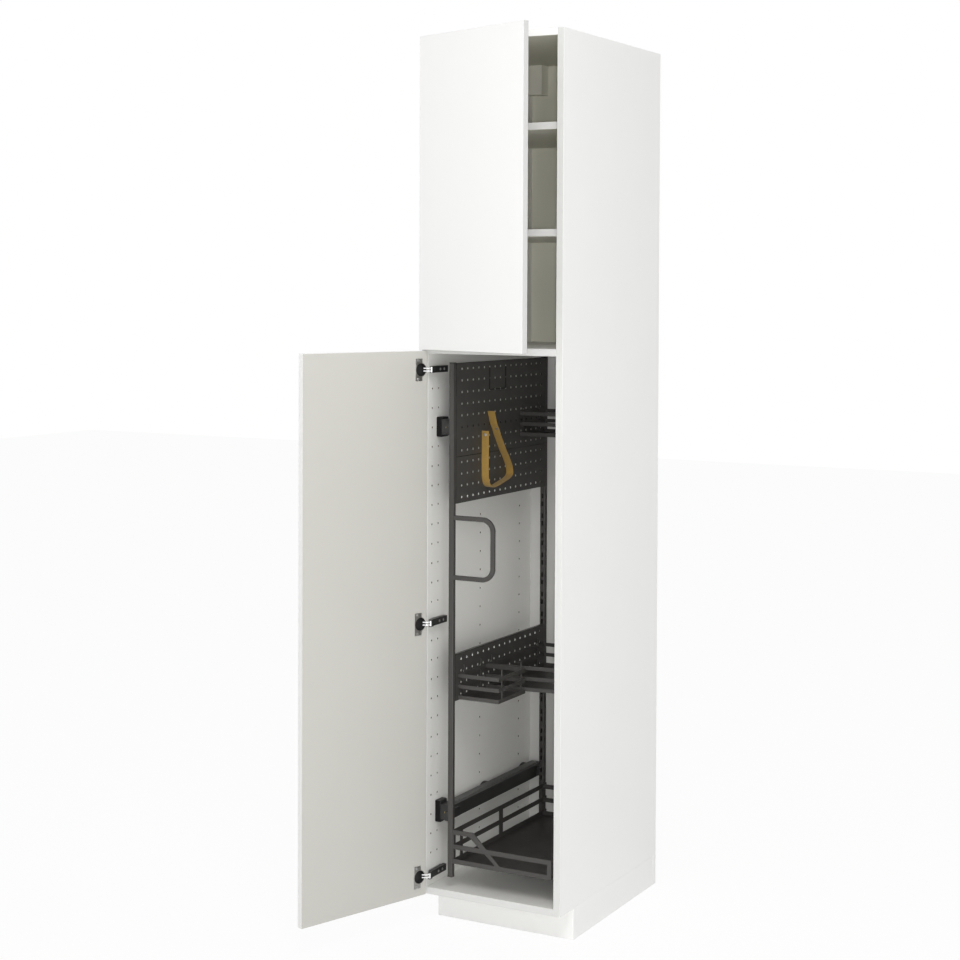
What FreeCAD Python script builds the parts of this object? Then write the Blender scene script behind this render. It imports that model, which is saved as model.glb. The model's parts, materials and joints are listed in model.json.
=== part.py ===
import FreeCAD, Part
import math
import os
import re
from types import SimpleNamespace

import Sketcher

# Tall kitchen cabinet with two hinged doors and a pull-out cleaning interior.
# Millimetres. X runs across the front, Y from front to back, Z up. The origin is on the floor,
# in the middle of the cabinet's width, in the plane of the wall behind it.
# A place in Y is given from the carcass front and moved forward by the cabinet's depth.

SIZES = {
    # Carcass
    "cabinet_width": 400,
    "cabinet_depth": 600,
    "carcass_height": 2200,
    "plinth_height": 80,
    "board": 18,
    "divider_height": 1400,
    "back_board": 6,
    "back_inset": 14,
    "groove_depth": 6,
    # Rows of holes in the side panels
    "hole_radius": 2.5,
    "hole_depth": 12,
    "hole_pitch": 50,
    "hole_first_row": 50.5,
    "hole_top_gap": 45,
    "hole_front_column": 22,
    "hole_column_step": 32,
    "hole_middle_column": 283,
    "hole_back_gap": 89,
    "shelf_row_count": 3,
    # Adjustable shelves
    "shelf_front_gap": 20,
    "shelf_back_gap": 2,
    "shelf_side_gap": 1,
    "shelf_low_share": 0.356875,
    "shelf_high_share": 0.688125,
    "pin_out": 8,
    "pin_in": 8,
    "pin_flange": 1,
    "pin_flange_radius": 4,
    # Plinth and legs
    "plinth_recess": 79,
    "plinth_left_short": 9,
    "plinth_gap": 2,
    "leg_side_inset": 52,
    "leg_front_place": 135,
    "leg_back_gap": 72,
    "leg_plate_radius": 30,
    "leg_plate": 4,
    "leg_radius": 18,
    "leg_skirt": 26,
    "foot_radius": 24,
    "foot_height": 9,
    "foot_stem_radius": 9,
    "leg_bore_gap": 0.03,
    "clip_width": 26,
    "clip_height": 24,
    "clip_low": 36,
    # Suspension on the wall
    "rail_height": 40,
    "rail_top_drop": 65,
    "rail_bolt_place": 130,
    "rail_bolt_radius": 4,
    "hanger_block": 10,
    "hanger_depth": 36,
    "hanger_height": 62,
    "hanger_top_gap": 8,
    "tongue_width": 6,
    "tongue_height": 8,
    "tongue_gap": 1,
    "cover_width": 50,
    "cover_height": 82,
    "cover_depth": 42,
    "cover_wall": 1.5,
    # Doors
    "door_board": 16,
    "door_reveal": 1.5,
    "door_side_reveal": 1,
    "door_free_reveal": 2,
    "door_standoff": 3,
    "lower_door_open": 109,
    "upper_door_open": 21,
    # Concealed hinges
    "axis_inset": 9,
    "axis_forward": 13.5,
    "cup_edge": 22.5,
    "cup_radius": 17.5,
    "cup_wall": 1,
    "cup_depth": 11.3,
    "cup_bore_gap": 0.2,
    "flange_near": 18,
    "flange_far": 40,
    "flange_height": 57,
    "flange": 1.4,
    "flange_screw_place": 24,
    "flange_screw_far": 32,
    "screw_head_radius": 3.4,
    "screw_head": 1.2,
    "plate_base": 3.5,
    "plate_front": 12,
    "plate_length": 58,
    "plate_height": 18,
    "plate_core_height": 12,
    "arm_outer": 23,
    "arm_wall": 1.5,
    "arm_height": 17,
    "arm_front": 1,
    "arm_rear": 79,
    "arm_cheek_inner": 13,
    "nose_half": 3.4,
    "nose_pin_radius": 1.2,
    "link_height": 10,
    "link_leaf": 3,
    "link_half": 1.4,
    "link_turn_share": 0.4366,
    "link_pivot_across": 23.1,
    "link_pivot_back": 6.6,
    "link_bend_across": 13.2,
    "link_bend_back": 5,
    "link_end_across": 3.25,
    "link_end_back": 9.41,
    "arm_screw_front": 38,
    "arm_screw_step": 20,
    # Runners of the pull-out
    "runner_stand": 17,
    "runner_front": 42,
    "runner_back_gap": 38,
    "runner_height": 40,
    "runner_metal": 1.5,
    "runner_depth": 22,
    "runner_step": 4,
    "top_runner_drop": 166,
    "low_runner_level": 284,
    "bracket_length": 36,
    "bracket_height": 52,
    "low_bracket_height": 57,
    "bracket_screw_radius": 3,
    "clip_radius": 37,
    "clip_near_place": 307,
    "clip_back_gap": 65,
    "clip_rise": 17,
    "carrier_height": 24,
    # Pull-out frame
    "frame_face": 70,
    "post_width": 14,
    "post_depth": 12,
    "post_wall": 1.5,
    "post_front": 11,
    "pull_out_back_gap": 70,
    "rear_post_depth": 15,
    "post_low": 131,
    "pull_out_top_gap": 33,
    "post_cap": 2,
    "slot_width": 6,
    "slot_height": 13,
    "slot_pair": 21,
    "slot_pitch": 55,
    "slot_first": 20,
    "slot_pair_count": 17,
    "sheet": 1.5,
    "sheet_return": 9,
    "sheet_hole_radius": 3,
    "sheet_pitch": 30,
    "sheet_margin": 30,
    "sheet_edge": 12,
    "top_sheet_rows": 8,
    "low_sheet_rows": 4,
    "strip_rows": 4,
    "strip_top": 700,
    "sheet_seam": 0.4,
    "sheet_side_gap": 0.2,
    # Pull handle
    "handle_reach": 119,
    "handle_height": 165,
    "handle_low": 894,
    "handle_bar": 12,
    "handle_thick": 6,
    "handle_round": 37,
    # Baskets
    "basket_bar": 12,
    "small_basket_bar": 10,
    "basket_metal": 3,
    "basket_tray": 1.5,
    "basket_step": 28,
    "basket_base": 583,
    "basket_stub": 18,
    "basket_post": 5,
    "small_basket_width": 118,
    "small_basket_depth": 148,
    "front_basket_place": 38,
    "rear_basket_place": 192,
    "basket_back_gap": 2,
    "rear_basket_side_gap": 22,
    "rear_basket_slant": 42,
    "top_basket_forward": 20,
    "top_basket_drop": 209,
    "hook_width": 4,
    "hook_height": 4,
    "hook_drop": 9,
    "hook_metal": 2.5,
    "hook_slot_width": 6,
    "hook_lift": 12,
    "hook_gap": 0.3,
    "hook_low_place": 638,
    "hook_top_drop": 151,
    "front_basket_near_hook": 1,
    "front_basket_far_hook": 4,
    "rear_basket_near_hook": 6,
    "top_basket_hooks_apart": 3,
    "floor_basket_side_gap": 12,
    "floor_basket_front": 12,
    "floor_basket_back_gap": 6,
    "floor_basket_base": 165,
    "floor_basket_step": 37.5,
    "floor_upright": 19,
    "floor_front_upright": 38,
    "floor_middle_upright": 252,
    "brace_flat": 60,
    "brace_run": 70,
    # Strap
    "strap_width": 21,
    "strap_thick": 2,
    "strap_place": 160.5,
    "strap_drop": 331,
    "strap_reach": 138,
    "strap_height": 200,
    "stud_share": 0.7,
    "stud_radius": 4,
    "stud_head": 2,
    # Small shared sizes
    "running_gap": 0.3,
    "overrun": 1,
    "wire_radius": 1,
    "wire_left": 201,
    "wire_span": 90,
    "wire_top_drop": 16,
    "wire_drop": 59,
}

doc = FreeCAD.newDocument("TallCabinet")
sheet = doc.addObject("Spreadsheet::Sheet", "Sizes")
for row, (alias, value) in enumerate(SIZES.items(), start=1):
    cell = f"A{row}"
    sheet.set(cell, str(value))
    sheet.setAlias(cell, alias)
doc.recompute()
size = SimpleNamespace(**{alias: float(sheet.get(alias)) for alias in SIZES})

X_AXIS = FreeCAD.Vector(1, 0, 0)
Y_AXIS = FreeCAD.Vector(0, 1, 0)
Z_AXIS = FreeCAD.Vector(0, 0, 1)
QUARTER_TURN = 90
nodes = []

# Counts and levels that follow the carcass, so that rows, shelves and hinges stay together.
ROW_COUNT = "(floor((carcass_height - hole_first_row - hole_top_gap) / hole_pitch) + 1)"
UPPER_BAY = "(carcass_height - divider_height)"
SHELF_PINS = (
    ("shelf_low", f"(divider_height + {UPPER_BAY} * shelf_low_share)"),
    ("shelf_high", f"(divider_height + {UPPER_BAY} * shelf_high_share)"),
)


# Sizes that follow the cabinet's, so that rows, runners, sheets and baskets end before its back, its
# right side and its middle board.
SHEET_RUN = "(rear_post_front - post_front - post_depth - sheet_margin)"
FOLLOWING = {
    "hole_rear_column": "(cabinet_depth - hole_back_gap)",
    "leg_rear_place": "(cabinet_depth - leg_back_gap)",
    "runner_length": "(cabinet_depth - runner_front - runner_back_gap)",
    "clip_far_place": "(cabinet_depth - clip_back_gap)",
    "rear_post_front": "(cabinet_depth - pull_out_back_gap)",
    "sheet_columns": f"(floor(({SHEET_RUN} - sheet_edge) / sheet_pitch) + 1)",
    "rear_basket_depth": "(rear_post_front - basket_back_gap - rear_basket_place)",
    "rear_basket_far_hook": "(sheet_columns - 1)",
    "top_basket_near_hook": "(top_basket_far_hook - top_basket_hooks_apart)",
    "top_basket_far_hook": "(sheet_columns - 1)",
    "floor_basket_depth": "(rear_post_front - floor_basket_back_gap - floor_basket_front)",
    "rear_basket_width": "(cabinet_width - 2 * board - frame_face - rear_basket_side_gap)",
    "floor_basket_width": "(cabinet_width - 2 * board - frame_face - floor_basket_side_gap)",
    "post_top": "(plinth_height + divider_height - pull_out_top_gap)",
    "top_runner_level": "(post_top - top_runner_drop)",
    "top_basket_base": "(post_top - top_basket_drop)",
    "hook_top_place": "(post_top - hook_top_drop)",
    "wire_top": "(post_top - wire_top_drop)",
    "strap_level": "(post_top - strap_drop)",
}


def named(word):
    """A name in a sum as its cell of the sheet, or as the sum that it follows from."""
    name = word.group(0)
    if name in FOLLOWING:
        return bound(FOLLOWING[name])
    return "Sizes." * (name in SIZES) + name


def bound(text):
    """The same sum with every name in it pointing at its cell of the sheet."""
    return re.sub(r"[a-z_]{4,}", named, text)


def bind(item, **properties):
    """Ties properties of an object to sums of named sizes."""
    for name, text in properties.items():
        item.setExpression(name.replace("__", "."), bound(text))
    return item


def place(item, x, y, z):
    """Puts an object at x, at y behind the carcass front, and at z above the floor."""
    item.setExpression("Placement.Base.x", bound(x))
    item.setExpression("Placement.Base.y", bound(f"({y}) - cabinet_depth"))
    item.setExpression("Placement.Base.z", bound(z))
    return item


def place_local(item, x, y, z):
    """Puts an object in the frame of a hinge, measured from its axis."""
    item.setExpression("Placement.Base.x", bound(x))
    item.setExpression("Placement.Base.y", bound(y))
    item.setExpression("Placement.Base.z", bound(z))
    return item


def box(name, x, y, z, along_x, along_y, along_z, put=place):
    """A block from its lowest corner and its three edges."""
    item = doc.addObject("Part::Box", name)
    bind(item, Length=along_x, Width=along_y, Height=along_z)
    return put(item, x, y, z)


def rod(name, x, y, z, radius, length, axis=Z_AXIS, put=place):
    """A cylinder from the centre of its first face, along X, Y or Z."""
    item = doc.addObject("Part::Cylinder", name)
    item.Placement = FreeCAD.Placement(FreeCAD.Vector(), FreeCAD.Rotation(Z_AXIS, axis))
    bind(item, Radius=radius, Height=length)
    return put(item, x, y, z)


def fuse(name, pieces):
    item = doc.addObject("Part::MultiFuse", name)
    item.Shapes = pieces
    item.Refine = True
    return item


def cut(name, base, tool):
    item = doc.addObject("Part::Cut", name)
    item.Base = base
    item.Tool = tool
    return item


def group(name, pieces):
    item = doc.addObject("Part::Compound", name)
    item.Links = pieces
    return item


def solid(name, shape):
    """A shape made from the named sizes, moved forward by the cabinet's depth."""
    item = doc.addObject("Part::Feature", name)
    item.Shape = shape
    item.Placement = FreeCAD.Placement(FreeCAD.Vector(0, -size.cabinet_depth, 0), FreeCAD.Rotation())
    return item


def node(label, item):
    """Names a finished sub-part."""
    item.Label = label
    nodes.append(item)
    return item


def plane(body, role):
    return next(f for f in body.Origin.OriginFeatures if f.Role == role)


def new_sketch(body, name, role):
    sketch = body.newObject("Sketcher::SketchObject", name)
    sketch.AttachmentSupport = [(plane(body, role), "")]
    sketch.MapMode = "FlatFace"
    return sketch


def draw_rectangle(sketch, left, low, width, height):
    """A rectangle in a sketch, held by its lowest corner, width and height."""
    corners = [FreeCAD.Vector(*p, 0) for p in ((0, 0), (1, 0), (1, 1), (0, 1))]
    first = sketch.GeometryCount
    for index, start in enumerate(corners):
        sketch.addGeometry(Part.LineSegment(start, corners[(index + 1) % len(corners)]), False)
    bottom, right, top, side = range(first, first + len(corners))
    for one, other in ((bottom, right), (right, top), (top, side), (side, bottom)):
        sketch.addConstraint(Sketcher.Constraint("Coincident", one, 2, other, 1))
    for line, kind in ((bottom, "Horizontal"), (top, "Horizontal"), (right, "Vertical"), (side, "Vertical")):
        sketch.addConstraint(Sketcher.Constraint(kind, line))
    measures = (
        ("DistanceX", (bottom, 1, bottom, 2), width),
        ("DistanceY", (right, 1, right, 2), height),
        ("DistanceX", (-1, 1, bottom, 1), left),
        ("DistanceY", (-1, 1, bottom, 1), low),
    )
    for kind, ends, text in measures:
        number = sketch.addConstraint(Sketcher.Constraint(kind, *ends, 1.0))
        sketch.setExpression(f"Constraints[{number}]", bound(text))


def draw_circle(sketch, across, up, radius):
    """A circle in a sketch, held by its centre and radius."""
    circle = sketch.addGeometry(Part.Circle(FreeCAD.Vector(1, 1, 0), Z_AXIS, 1), False)
    measures = (
        ("Radius", (circle,), radius),
        ("DistanceX", (-1, 1, circle, 3), across),
        ("DistanceY", (-1, 1, circle, 3), up),
    )
    for kind, ends, text in measures:
        number = sketch.addConstraint(Sketcher.Constraint(kind, *ends, 1.0))
        sketch.setExpression(f"Constraints[{number}]", bound(text))


def pocket(body, name, sketch, depth, reverse):
    feature = body.newObject("PartDesign::Pocket", name)
    feature.Profile = sketch
    feature.Reversed = reverse
    bind(feature, Length=depth)
    return feature


def pattern_up(body, name, feature, count, pitch):
    """Repeats a pocket upwards at a fixed pitch."""
    row = body.newObject("PartDesign::LinearPattern", name)
    row.Originals = [feature]
    row.Direction = (plane(body, "Z_Axis"), [""])
    bind(row, Length=f"({count} - 1) * {pitch}", Occurrences=count)
    body.Tip = row
    return row


# Side panels: melamine boards with rows of blind holes on the inner face and a groove for the back.
def side_panel(label, x, inner_offset, into_board):
    body = doc.addObject("PartDesign::Body", label)
    outline = new_sketch(body, label + "_outline", "YZ_Plane")
    draw_rectangle(outline, "0 - cabinet_depth", "plinth_height", "cabinet_depth", "carcass_height")
    pad = body.newObject("PartDesign::Pad", label + "_pad")
    pad.Profile = outline
    bind(pad, Length="board")
    groove = new_sketch(body, label + "_groove_outline", "YZ_Plane")
    bind(groove, AttachmentOffset__Base__z=inner_offset)
    draw_rectangle(
        groove,
        "0 - back_inset - back_board",
        "plinth_height",
        "back_board",
        "carcass_height",
    )
    pocket(body, label + "_groove", groove, "groove_depth", into_board)
    rows = new_sketch(body, label + "_hole_row", "YZ_Plane")
    bind(rows, AttachmentOffset__Base__z=inner_offset)
    columns = (
        "hole_front_column",
        "hole_front_column + hole_column_step",
        "hole_middle_column",
        "hole_rear_column",
    )
    for column in columns:
        draw_circle(rows, f"{column} - cabinet_depth", "plinth_height + hole_first_row", "hole_radius")
    first = pocket(body, label + "_holes", rows, "hole_depth", into_board)
    pattern_up(body, label + "_hole_rows", first, ROW_COUNT, "hole_pitch")
    supports = new_sketch(body, label + "_shelf_holes_outline", "YZ_Plane")
    bind(supports, AttachmentOffset__Base__z=inner_offset)
    for shelf, level in SHELF_PINS:
        for column in (columns[1], columns[3]):
            draw_circle(
                supports,
                f"{column} - cabinet_depth",
                f"plinth_height + {level} - hole_pitch",
                "hole_radius",
            )
    shelf_holes = pocket(body, label + "_shelf_holes", supports, "hole_depth", into_board)
    pattern_up(body, label + "_shelf_rows", shelf_holes, "shelf_row_count", "hole_pitch")
    bind(body, Placement__Base__x=x)
    return node(label, body)


side_panel("side_panel_left", "0 - cabinet_width / 2", "board", False)
side_panel("side_panel_right", "cabinet_width / 2 - board", "0 * board", True)

# Top, bottom and fixed middle board, dowelled between the side panels in front of the back.
INNER_LEFT = "(board - cabinet_width / 2)"
INNER_WIDTH = "(cabinet_width - 2 * board)"
BOARD_DEPTH = "(cabinet_depth - back_inset - back_board)"
board_levels = (
    ("top_panel", "plinth_height + carcass_height - board"),
    ("middle_panel", "plinth_height + divider_height - board / 2"),
    ("bottom_panel", "plinth_height"),
)
for label, level in board_levels:
    node(label, box(label, INNER_LEFT, "0 * board", level, INNER_WIDTH, BOARD_DEPTH, "board"))

# The back is two thin boards in the side panels' grooves, with a slot for each hanger's tongue.
BACK_FRONT = f"{BOARD_DEPTH}"
RAIL_TOP = "(plinth_height + carcass_height - rail_top_drop)"
TONGUE_INSET = "(hanger_block - tongue_width) / 2"
back_pieces = (
    ("back_panel_lower", "plinth_height", "divider_height"),
    ("back_panel_upper", "plinth_height + divider_height", "carcass_height - divider_height"),
)
for label, low, height in back_pieces:
    panel = box(
        label + "_board",
        f"{INNER_LEFT} - groove_depth",
        BACK_FRONT,
        low,
        f"{INNER_WIDTH} + 2 * groove_depth",
        "back_board",
        height,
    )
    if label == "back_panel_upper":
        slots = []
        for side, left in (("left", INNER_LEFT), ("right", f"0 - {INNER_LEFT} - hanger_block")):
            slots.append(
                box(
                    f"tongue_slot_{side}",
                    f"{left} + {TONGUE_INSET} - tongue_gap",
                    f"{BACK_FRONT} - overrun",
                    f"{RAIL_TOP} - tongue_gap",
                    "tongue_width + 2 * tongue_gap",
                    "back_board + 2 * overrun",
                    "tongue_height + 2 * tongue_gap",
                )
            )
        panel = cut(label + "_slotted", panel, fuse("tongue_slots", slots))
    node(label, panel)

# Wall rail behind the back: the bolts through it hold the cabinet to the wall.
rail_body = box(
    "wall_rail_bar",
    INNER_LEFT,
    f"{BACK_FRONT} + back_board",
    f"{RAIL_TOP} - rail_height",
    INNER_WIDTH,
    "back_inset",
    "rail_height",
)
rail_bolts = [
    rod(
        f"rail_bolt_hole_{side}",
        f"{sign} rail_bolt_place",
        f"{BACK_FRONT} + back_board - overrun",
        f"{RAIL_TOP} - rail_height / 2",
        "rail_bolt_radius",
        "back_inset + 2 * overrun",
        Y_AXIS,
    )
    for side, sign in (("left", "0 -"), ("right", "0 +"))
]
node("wall_rail", cut("wall_rail_drilled", rail_body, fuse("rail_bolt_holes", rail_bolts)))

# Hangers: steel blocks on the side panels whose tongues reach through the back onto the rail.
hangers = []
covers = []
cover_sides = (
    ("left", INNER_LEFT, INNER_LEFT),
    ("right", f"0 - {INNER_LEFT} - hanger_block", f"0 - {INNER_LEFT} - cover_width"),
)
TOP_INSIDE = "(plinth_height + carcass_height - board)"
for side, left, cover_left in cover_sides:
    block = box(
        f"hanger_block_{side}",
        left,
        f"{BACK_FRONT} - hanger_depth",
        f"{TOP_INSIDE} - hanger_top_gap - hanger_height",
        "hanger_block",
        "hanger_depth",
        "hanger_height",
    )
    tongue = box(
        f"hanger_tongue_{side}",
        f"{left} + {TONGUE_INSET}",
        f"{BACK_FRONT} - hanger_depth / 2",
        RAIL_TOP,
        "tongue_width",
        "hanger_depth / 2 + back_board + back_inset / 2",
        "tongue_height",
    )
    hangers.append(fuse(f"hanger_{side}", [block, tongue]))
    shell = box(
        f"cover_shell_{side}",
        cover_left,
        f"{BACK_FRONT} - cover_depth",
        f"{TOP_INSIDE} - cover_height",
        "cover_width",
        "cover_depth",
        "cover_height",
    )
    inner_left = cover_left if side == "right" else f"{cover_left} - overrun"
    inner_shift = "cover_wall" if side == "right" else "0 * overrun"
    hollow = box(
        f"cover_hollow_{side}",
        f"{inner_left} + {inner_shift}",
        f"{BACK_FRONT} - cover_depth + cover_wall",
        f"{TOP_INSIDE} - cover_height + cover_wall",
        "cover_width - cover_wall + overrun",
        "cover_depth",
        "cover_height",
    )
    covers.append(cut(f"cover_{side}", shell, hollow))
node("wall_hangers", group("wall_hangers", hangers))
node("hanger_covers", group("hanger_covers", covers))

# Two adjustable shelves on steel pins.
SHELF_LEFT = f"({INNER_LEFT} + shelf_side_gap)"
pins = []
for label, level in SHELF_PINS:
    underside = f"plinth_height + {level} + hole_radius"
    node(
        label,
        box(
            label,
            SHELF_LEFT,
            "shelf_front_gap",
            underside,
            f"{INNER_WIDTH} - 2 * shelf_side_gap",
            f"{BOARD_DEPTH} - shelf_front_gap - shelf_back_gap",
            "board",
        ),
    )
    for column in ("hole_front_column + hole_column_step", "hole_rear_column"):
        pin_ends = (
            ("left", f"{INNER_LEFT} - pin_in", INNER_LEFT),
            ("right", f"0 - {INNER_LEFT} - pin_out", f"0 - {INNER_LEFT} - pin_flange"),
        )
        for side, start, flange_start in pin_ends:
            name = f"pin_{len(pins)}"
            shank = rod(
                name + "_shank",
                start,
                column,
                f"plinth_height + {level}",
                "hole_radius",
                "pin_in + pin_out",
                X_AXIS,
            )
            collar = rod(
                name + "_collar",
                flange_start,
                column,
                f"plinth_height + {level}",
                "pin_flange_radius",
                "pin_flange",
                X_AXIS,
            )
            pins.append(fuse(name, [shank, collar]))
node("shelf_pins", group("shelf_pins", pins))

# Plinth boards on three sides, standing on the floor under the carcass.
PLINTH_LEFT = "(plinth_left_short - cabinet_width / 2)"
SIDE_PLINTH_BACK = "(cabinet_depth - board - plinth_gap)"
node(
    "plinth_front",
    box(
        "plinth_front",
        PLINTH_LEFT,
        "plinth_recess",
        "0 * board",
        "cabinet_width - plinth_left_short",
        "board",
        "plinth_height",
    ),
)
node(
    "plinth_side",
    box(
        "plinth_side",
        "cabinet_width / 2 - board",
        "plinth_recess + board",
        "0 * board",
        "board",
        f"{SIDE_PLINTH_BACK} - plinth_recess - board",
        "plinth_height",
    ),
)
node(
    "plinth_back",
    box(
        "plinth_back",
        PLINTH_LEFT,
        "cabinet_depth - board",
        "0 * board",
        "cabinet_width - plinth_left_short",
        "board",
        "plinth_height",
    ),
)

# Levelling legs: a plastic socket under the bottom panel and a screwed foot in it.
sockets = []
feet = []
clips = []
leg_rows = (("front", "leg_front_place"), ("rear", "leg_rear_place"))
leg_sides = (("left", "leg_side_inset - cabinet_width / 2"), ("right", "cabinet_width / 2 - leg_side_inset"))
for row_name, depth_place in leg_rows:
    for side, across in leg_sides:
        name = f"leg_{row_name}_{side}"
        flange = rod(
            name + "_plate", across, depth_place, "plinth_height - leg_plate", "leg_plate_radius", "leg_plate"
        )
        sleeve = rod(
            name + "_sleeve", across, depth_place, "leg_skirt", "leg_radius", "plinth_height - leg_skirt"
        )
        bore = rod(
            name + "_bore",
            across,
            depth_place,
            "leg_skirt - overrun",
            "foot_stem_radius + leg_bore_gap",
            "plinth_height - leg_skirt - leg_plate + overrun",
        )
        sockets.append(cut(name, fuse(name + "_body", [flange, sleeve]), bore))
        pad = rod(name + "_pad", across, depth_place, "0 * board", "foot_radius", "foot_height")
        stem = rod(
            name + "_stem",
            across,
            depth_place,
            "foot_height / 2",
            "foot_stem_radius",
            "plinth_height - leg_plate - 2 * foot_height",
        )
        feet.append(fuse(name + "_foot", [pad, stem]))
        if row_name == "front":
            clip = box(
                name + "_clip_block",
                f"{across} - clip_width / 2",
                "plinth_recess + board",
                "clip_low",
                "clip_width",
                "leg_front_place - plinth_recess - board",
                "clip_height",
            )
            grip = rod(
                name + "_clip_grip",
                across,
                depth_place,
                "clip_low - overrun",
                "leg_radius + leg_bore_gap",
                "clip_height + 2 * overrun",
            )
            clips.append(cut(name + "_clip", clip, grip))
node("leg_sockets", group("leg_sockets", sockets))
node("leg_feet", group("leg_feet", feet))
node("plinth_clips", group("plinth_clips", clips))

# Doors are modelled closed in the frame of their hinge axis, then turned open by their angle.
AXIS_X = "(axis_inset - cabinet_width / 2)"
AXIS_Y = "(0 - axis_forward)"
DOOR_INSIDE = "(axis_forward - door_standoff)"
CUP_ACROSS = "(door_side_reveal - axis_inset + cup_edge)"
DOOR_LEFT = "(door_side_reveal - axis_inset)"
BACKWARD_TURN = FreeCAD.Vector(0, 0, -1)


def level_of(row):
    return f"(plinth_height + hole_first_row + hole_pitch * {row})"


DIVIDER_ROW = "floor(divider_height / hole_pitch)"
LOWER_ROWS = [level_of(row) for row in ("0", f"floor(({DIVIDER_ROW} - 2) / 2)", f"({DIVIDER_ROW} - 2)")]
UPPER_ROWS = [level_of(row) for row in (DIVIDER_ROW, f"({ROW_COUNT} - 1)")]


def swing(item, angle, across=AXIS_X, back=AXIS_Y, axis=BACKWARD_TURN):
    """Sets a group on its pivot, turned open by an angle."""
    item.Placement = FreeCAD.Placement(FreeCAD.Vector(), FreeCAD.Rotation(axis, 1))
    item.setExpression("Placement.Rotation.Angle", bound(angle))
    return place(item, across, back, "0 * board")


def door(label, low, height, rows, angle):
    slab = box(
        label + "_board",
        DOOR_LEFT,
        "axis_forward - door_standoff - door_board",
        low,
        "cabinet_width - door_side_reveal - door_free_reveal",
        "door_board",
        height,
        place_local,
    )
    bores = [
        rod(
            f"{label}_bore_{index}",
            CUP_ACROSS,
            f"{DOOR_INSIDE} - cup_depth",
            level,
            "cup_radius + cup_bore_gap",
            "cup_depth + overrun",
            Y_AXIS,
            place_local,
        )
        for index, level in enumerate(rows)
    ]
    drilled = cut(label + "_drilled", slab, fuse(label + "_bores", bores))
    return node(label, swing(drilled, angle))


def hinge_cups(label, rows, angle):
    """Cups pressed into the door, each with its flange plate and two screws."""
    cups = []
    for index, level in enumerate(rows):
        name = f"{label}_{index}"
        barrel = rod(
            name + "_barrel",
            CUP_ACROSS,
            f"{DOOR_INSIDE} - cup_depth",
            level,
            "cup_radius",
            "cup_depth + flange",
            Y_AXIS,
            place_local,
        )
        plate = box(
            name + "_flange",
            f"{DOOR_LEFT} + flange_near",
            DOOR_INSIDE,
            f"{level} - flange_height / 2",
            "flange_far - flange_near",
            "flange",
            "flange_height",
            place_local,
        )
        heads = [
            rod(
                f"{name}_head_{side}",
                f"{DOOR_LEFT} + flange_screw_far",
                f"{DOOR_INSIDE} + flange / 2",
                f"{level} {sign} flange_screw_place",
                "screw_head_radius",
                "flange / 2 + screw_head",
                Y_AXIS,
                place_local,
            )
            for side, sign in (("low", "-"), ("high", "+"))
        ]
        hollow = rod(
            name + "_hollow",
            CUP_ACROSS,
            f"{DOOR_INSIDE} - cup_depth + cup_wall",
            level,
            "cup_radius - cup_wall",
            "cup_depth + flange",
            Y_AXIS,
            place_local,
        )
        cups.append(cut(name, fuse(name + "_body", [barrel, plate, *heads]), hollow))
    return node(label, swing(group(label, cups), angle))


door(
    "lower_door",
    "plinth_height + door_reveal",
    "divider_height - 2 * door_reveal",
    LOWER_ROWS,
    "lower_door_open",
)
hinge_cups("lower_hinge_cups", LOWER_ROWS, "lower_door_open")
door(
    "upper_door",
    "plinth_height + divider_height + door_reveal",
    "carcass_height - divider_height - 2 * door_reveal",
    UPPER_ROWS,
    "upper_door_open",
)
hinge_cups("upper_hinge_cups", UPPER_ROWS, "upper_door_open")


# Links between cup and arm: two bent leaves on the arm's pin, turning less than half as far as the door.
def hinge_links(label, rows, angle):
    pivot = (size.link_pivot_across, size.link_pivot_back)
    bend = (size.link_bend_across, size.link_bend_back)
    end = (size.link_end_across, size.link_end_back)
    links = []
    for index, level in enumerate(rows):
        hub_half = size.arm_height / 2 - size.arm_wall - size.running_gap
        pieces = [Part.makeCylinder(size.nose_half - size.running_gap, 2 * hub_half, Z_AXIS * -hub_half)]
        for low in (size.link_height / -2, size.link_height / 2 - size.link_leaf):
            for start, stop in ((pivot, bend), (bend, end)):
                run = (stop[0] - start[0], stop[1] - start[1])
                length = math.hypot(*run)
                shift = (-run[1] / length * size.link_half, run[0] / length * size.link_half)
                corners = [
                    (start[0] + shift[0], start[1] + shift[1]),
                    (start[0] - shift[0], start[1] - shift[1]),
                    (stop[0] - shift[0], stop[1] - shift[1]),
                    (stop[0] + shift[0], stop[1] + shift[1]),
                ]
                points = [FreeCAD.Vector(x - pivot[0], y - pivot[1], low) for x, y in corners]
                face = Part.Face(Part.makePolygon([*points, points[0]]))
                pieces.append(face.extrude(Z_AXIS * size.link_leaf))
            for centre in (bend, end):
                middle = FreeCAD.Vector(centre[0] - pivot[0], centre[1] - pivot[1], low)
                pieces.append(Part.makeCylinder(size.link_half, size.link_leaf, middle))
        shape = pieces[0].multiFuse(pieces[1:]).removeSplitter()
        bore_radius = size.nose_pin_radius + size.running_gap
        bore = Part.makeCylinder(bore_radius, 2 * hub_half, Z_AXIS * -hub_half)
        link = doc.addObject("Part::Feature", f"{label}_{index}")
        link.Shape = shape.cut(bore)
        links.append(place_local(link, "0 * board", "0 * board", level))
    turned = swing(
        group(label, links),
        f"{angle} * link_turn_share",
        f"{AXIS_X} + link_pivot_across",
        f"{AXIS_Y} + link_pivot_back",
        Z_AXIS,
    )
    return node(label, turned)


hinge_links("lower_hinge_links", LOWER_ROWS, "lower_door_open")
hinge_links("upper_hinge_links", UPPER_ROWS, "upper_door_open")


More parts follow.
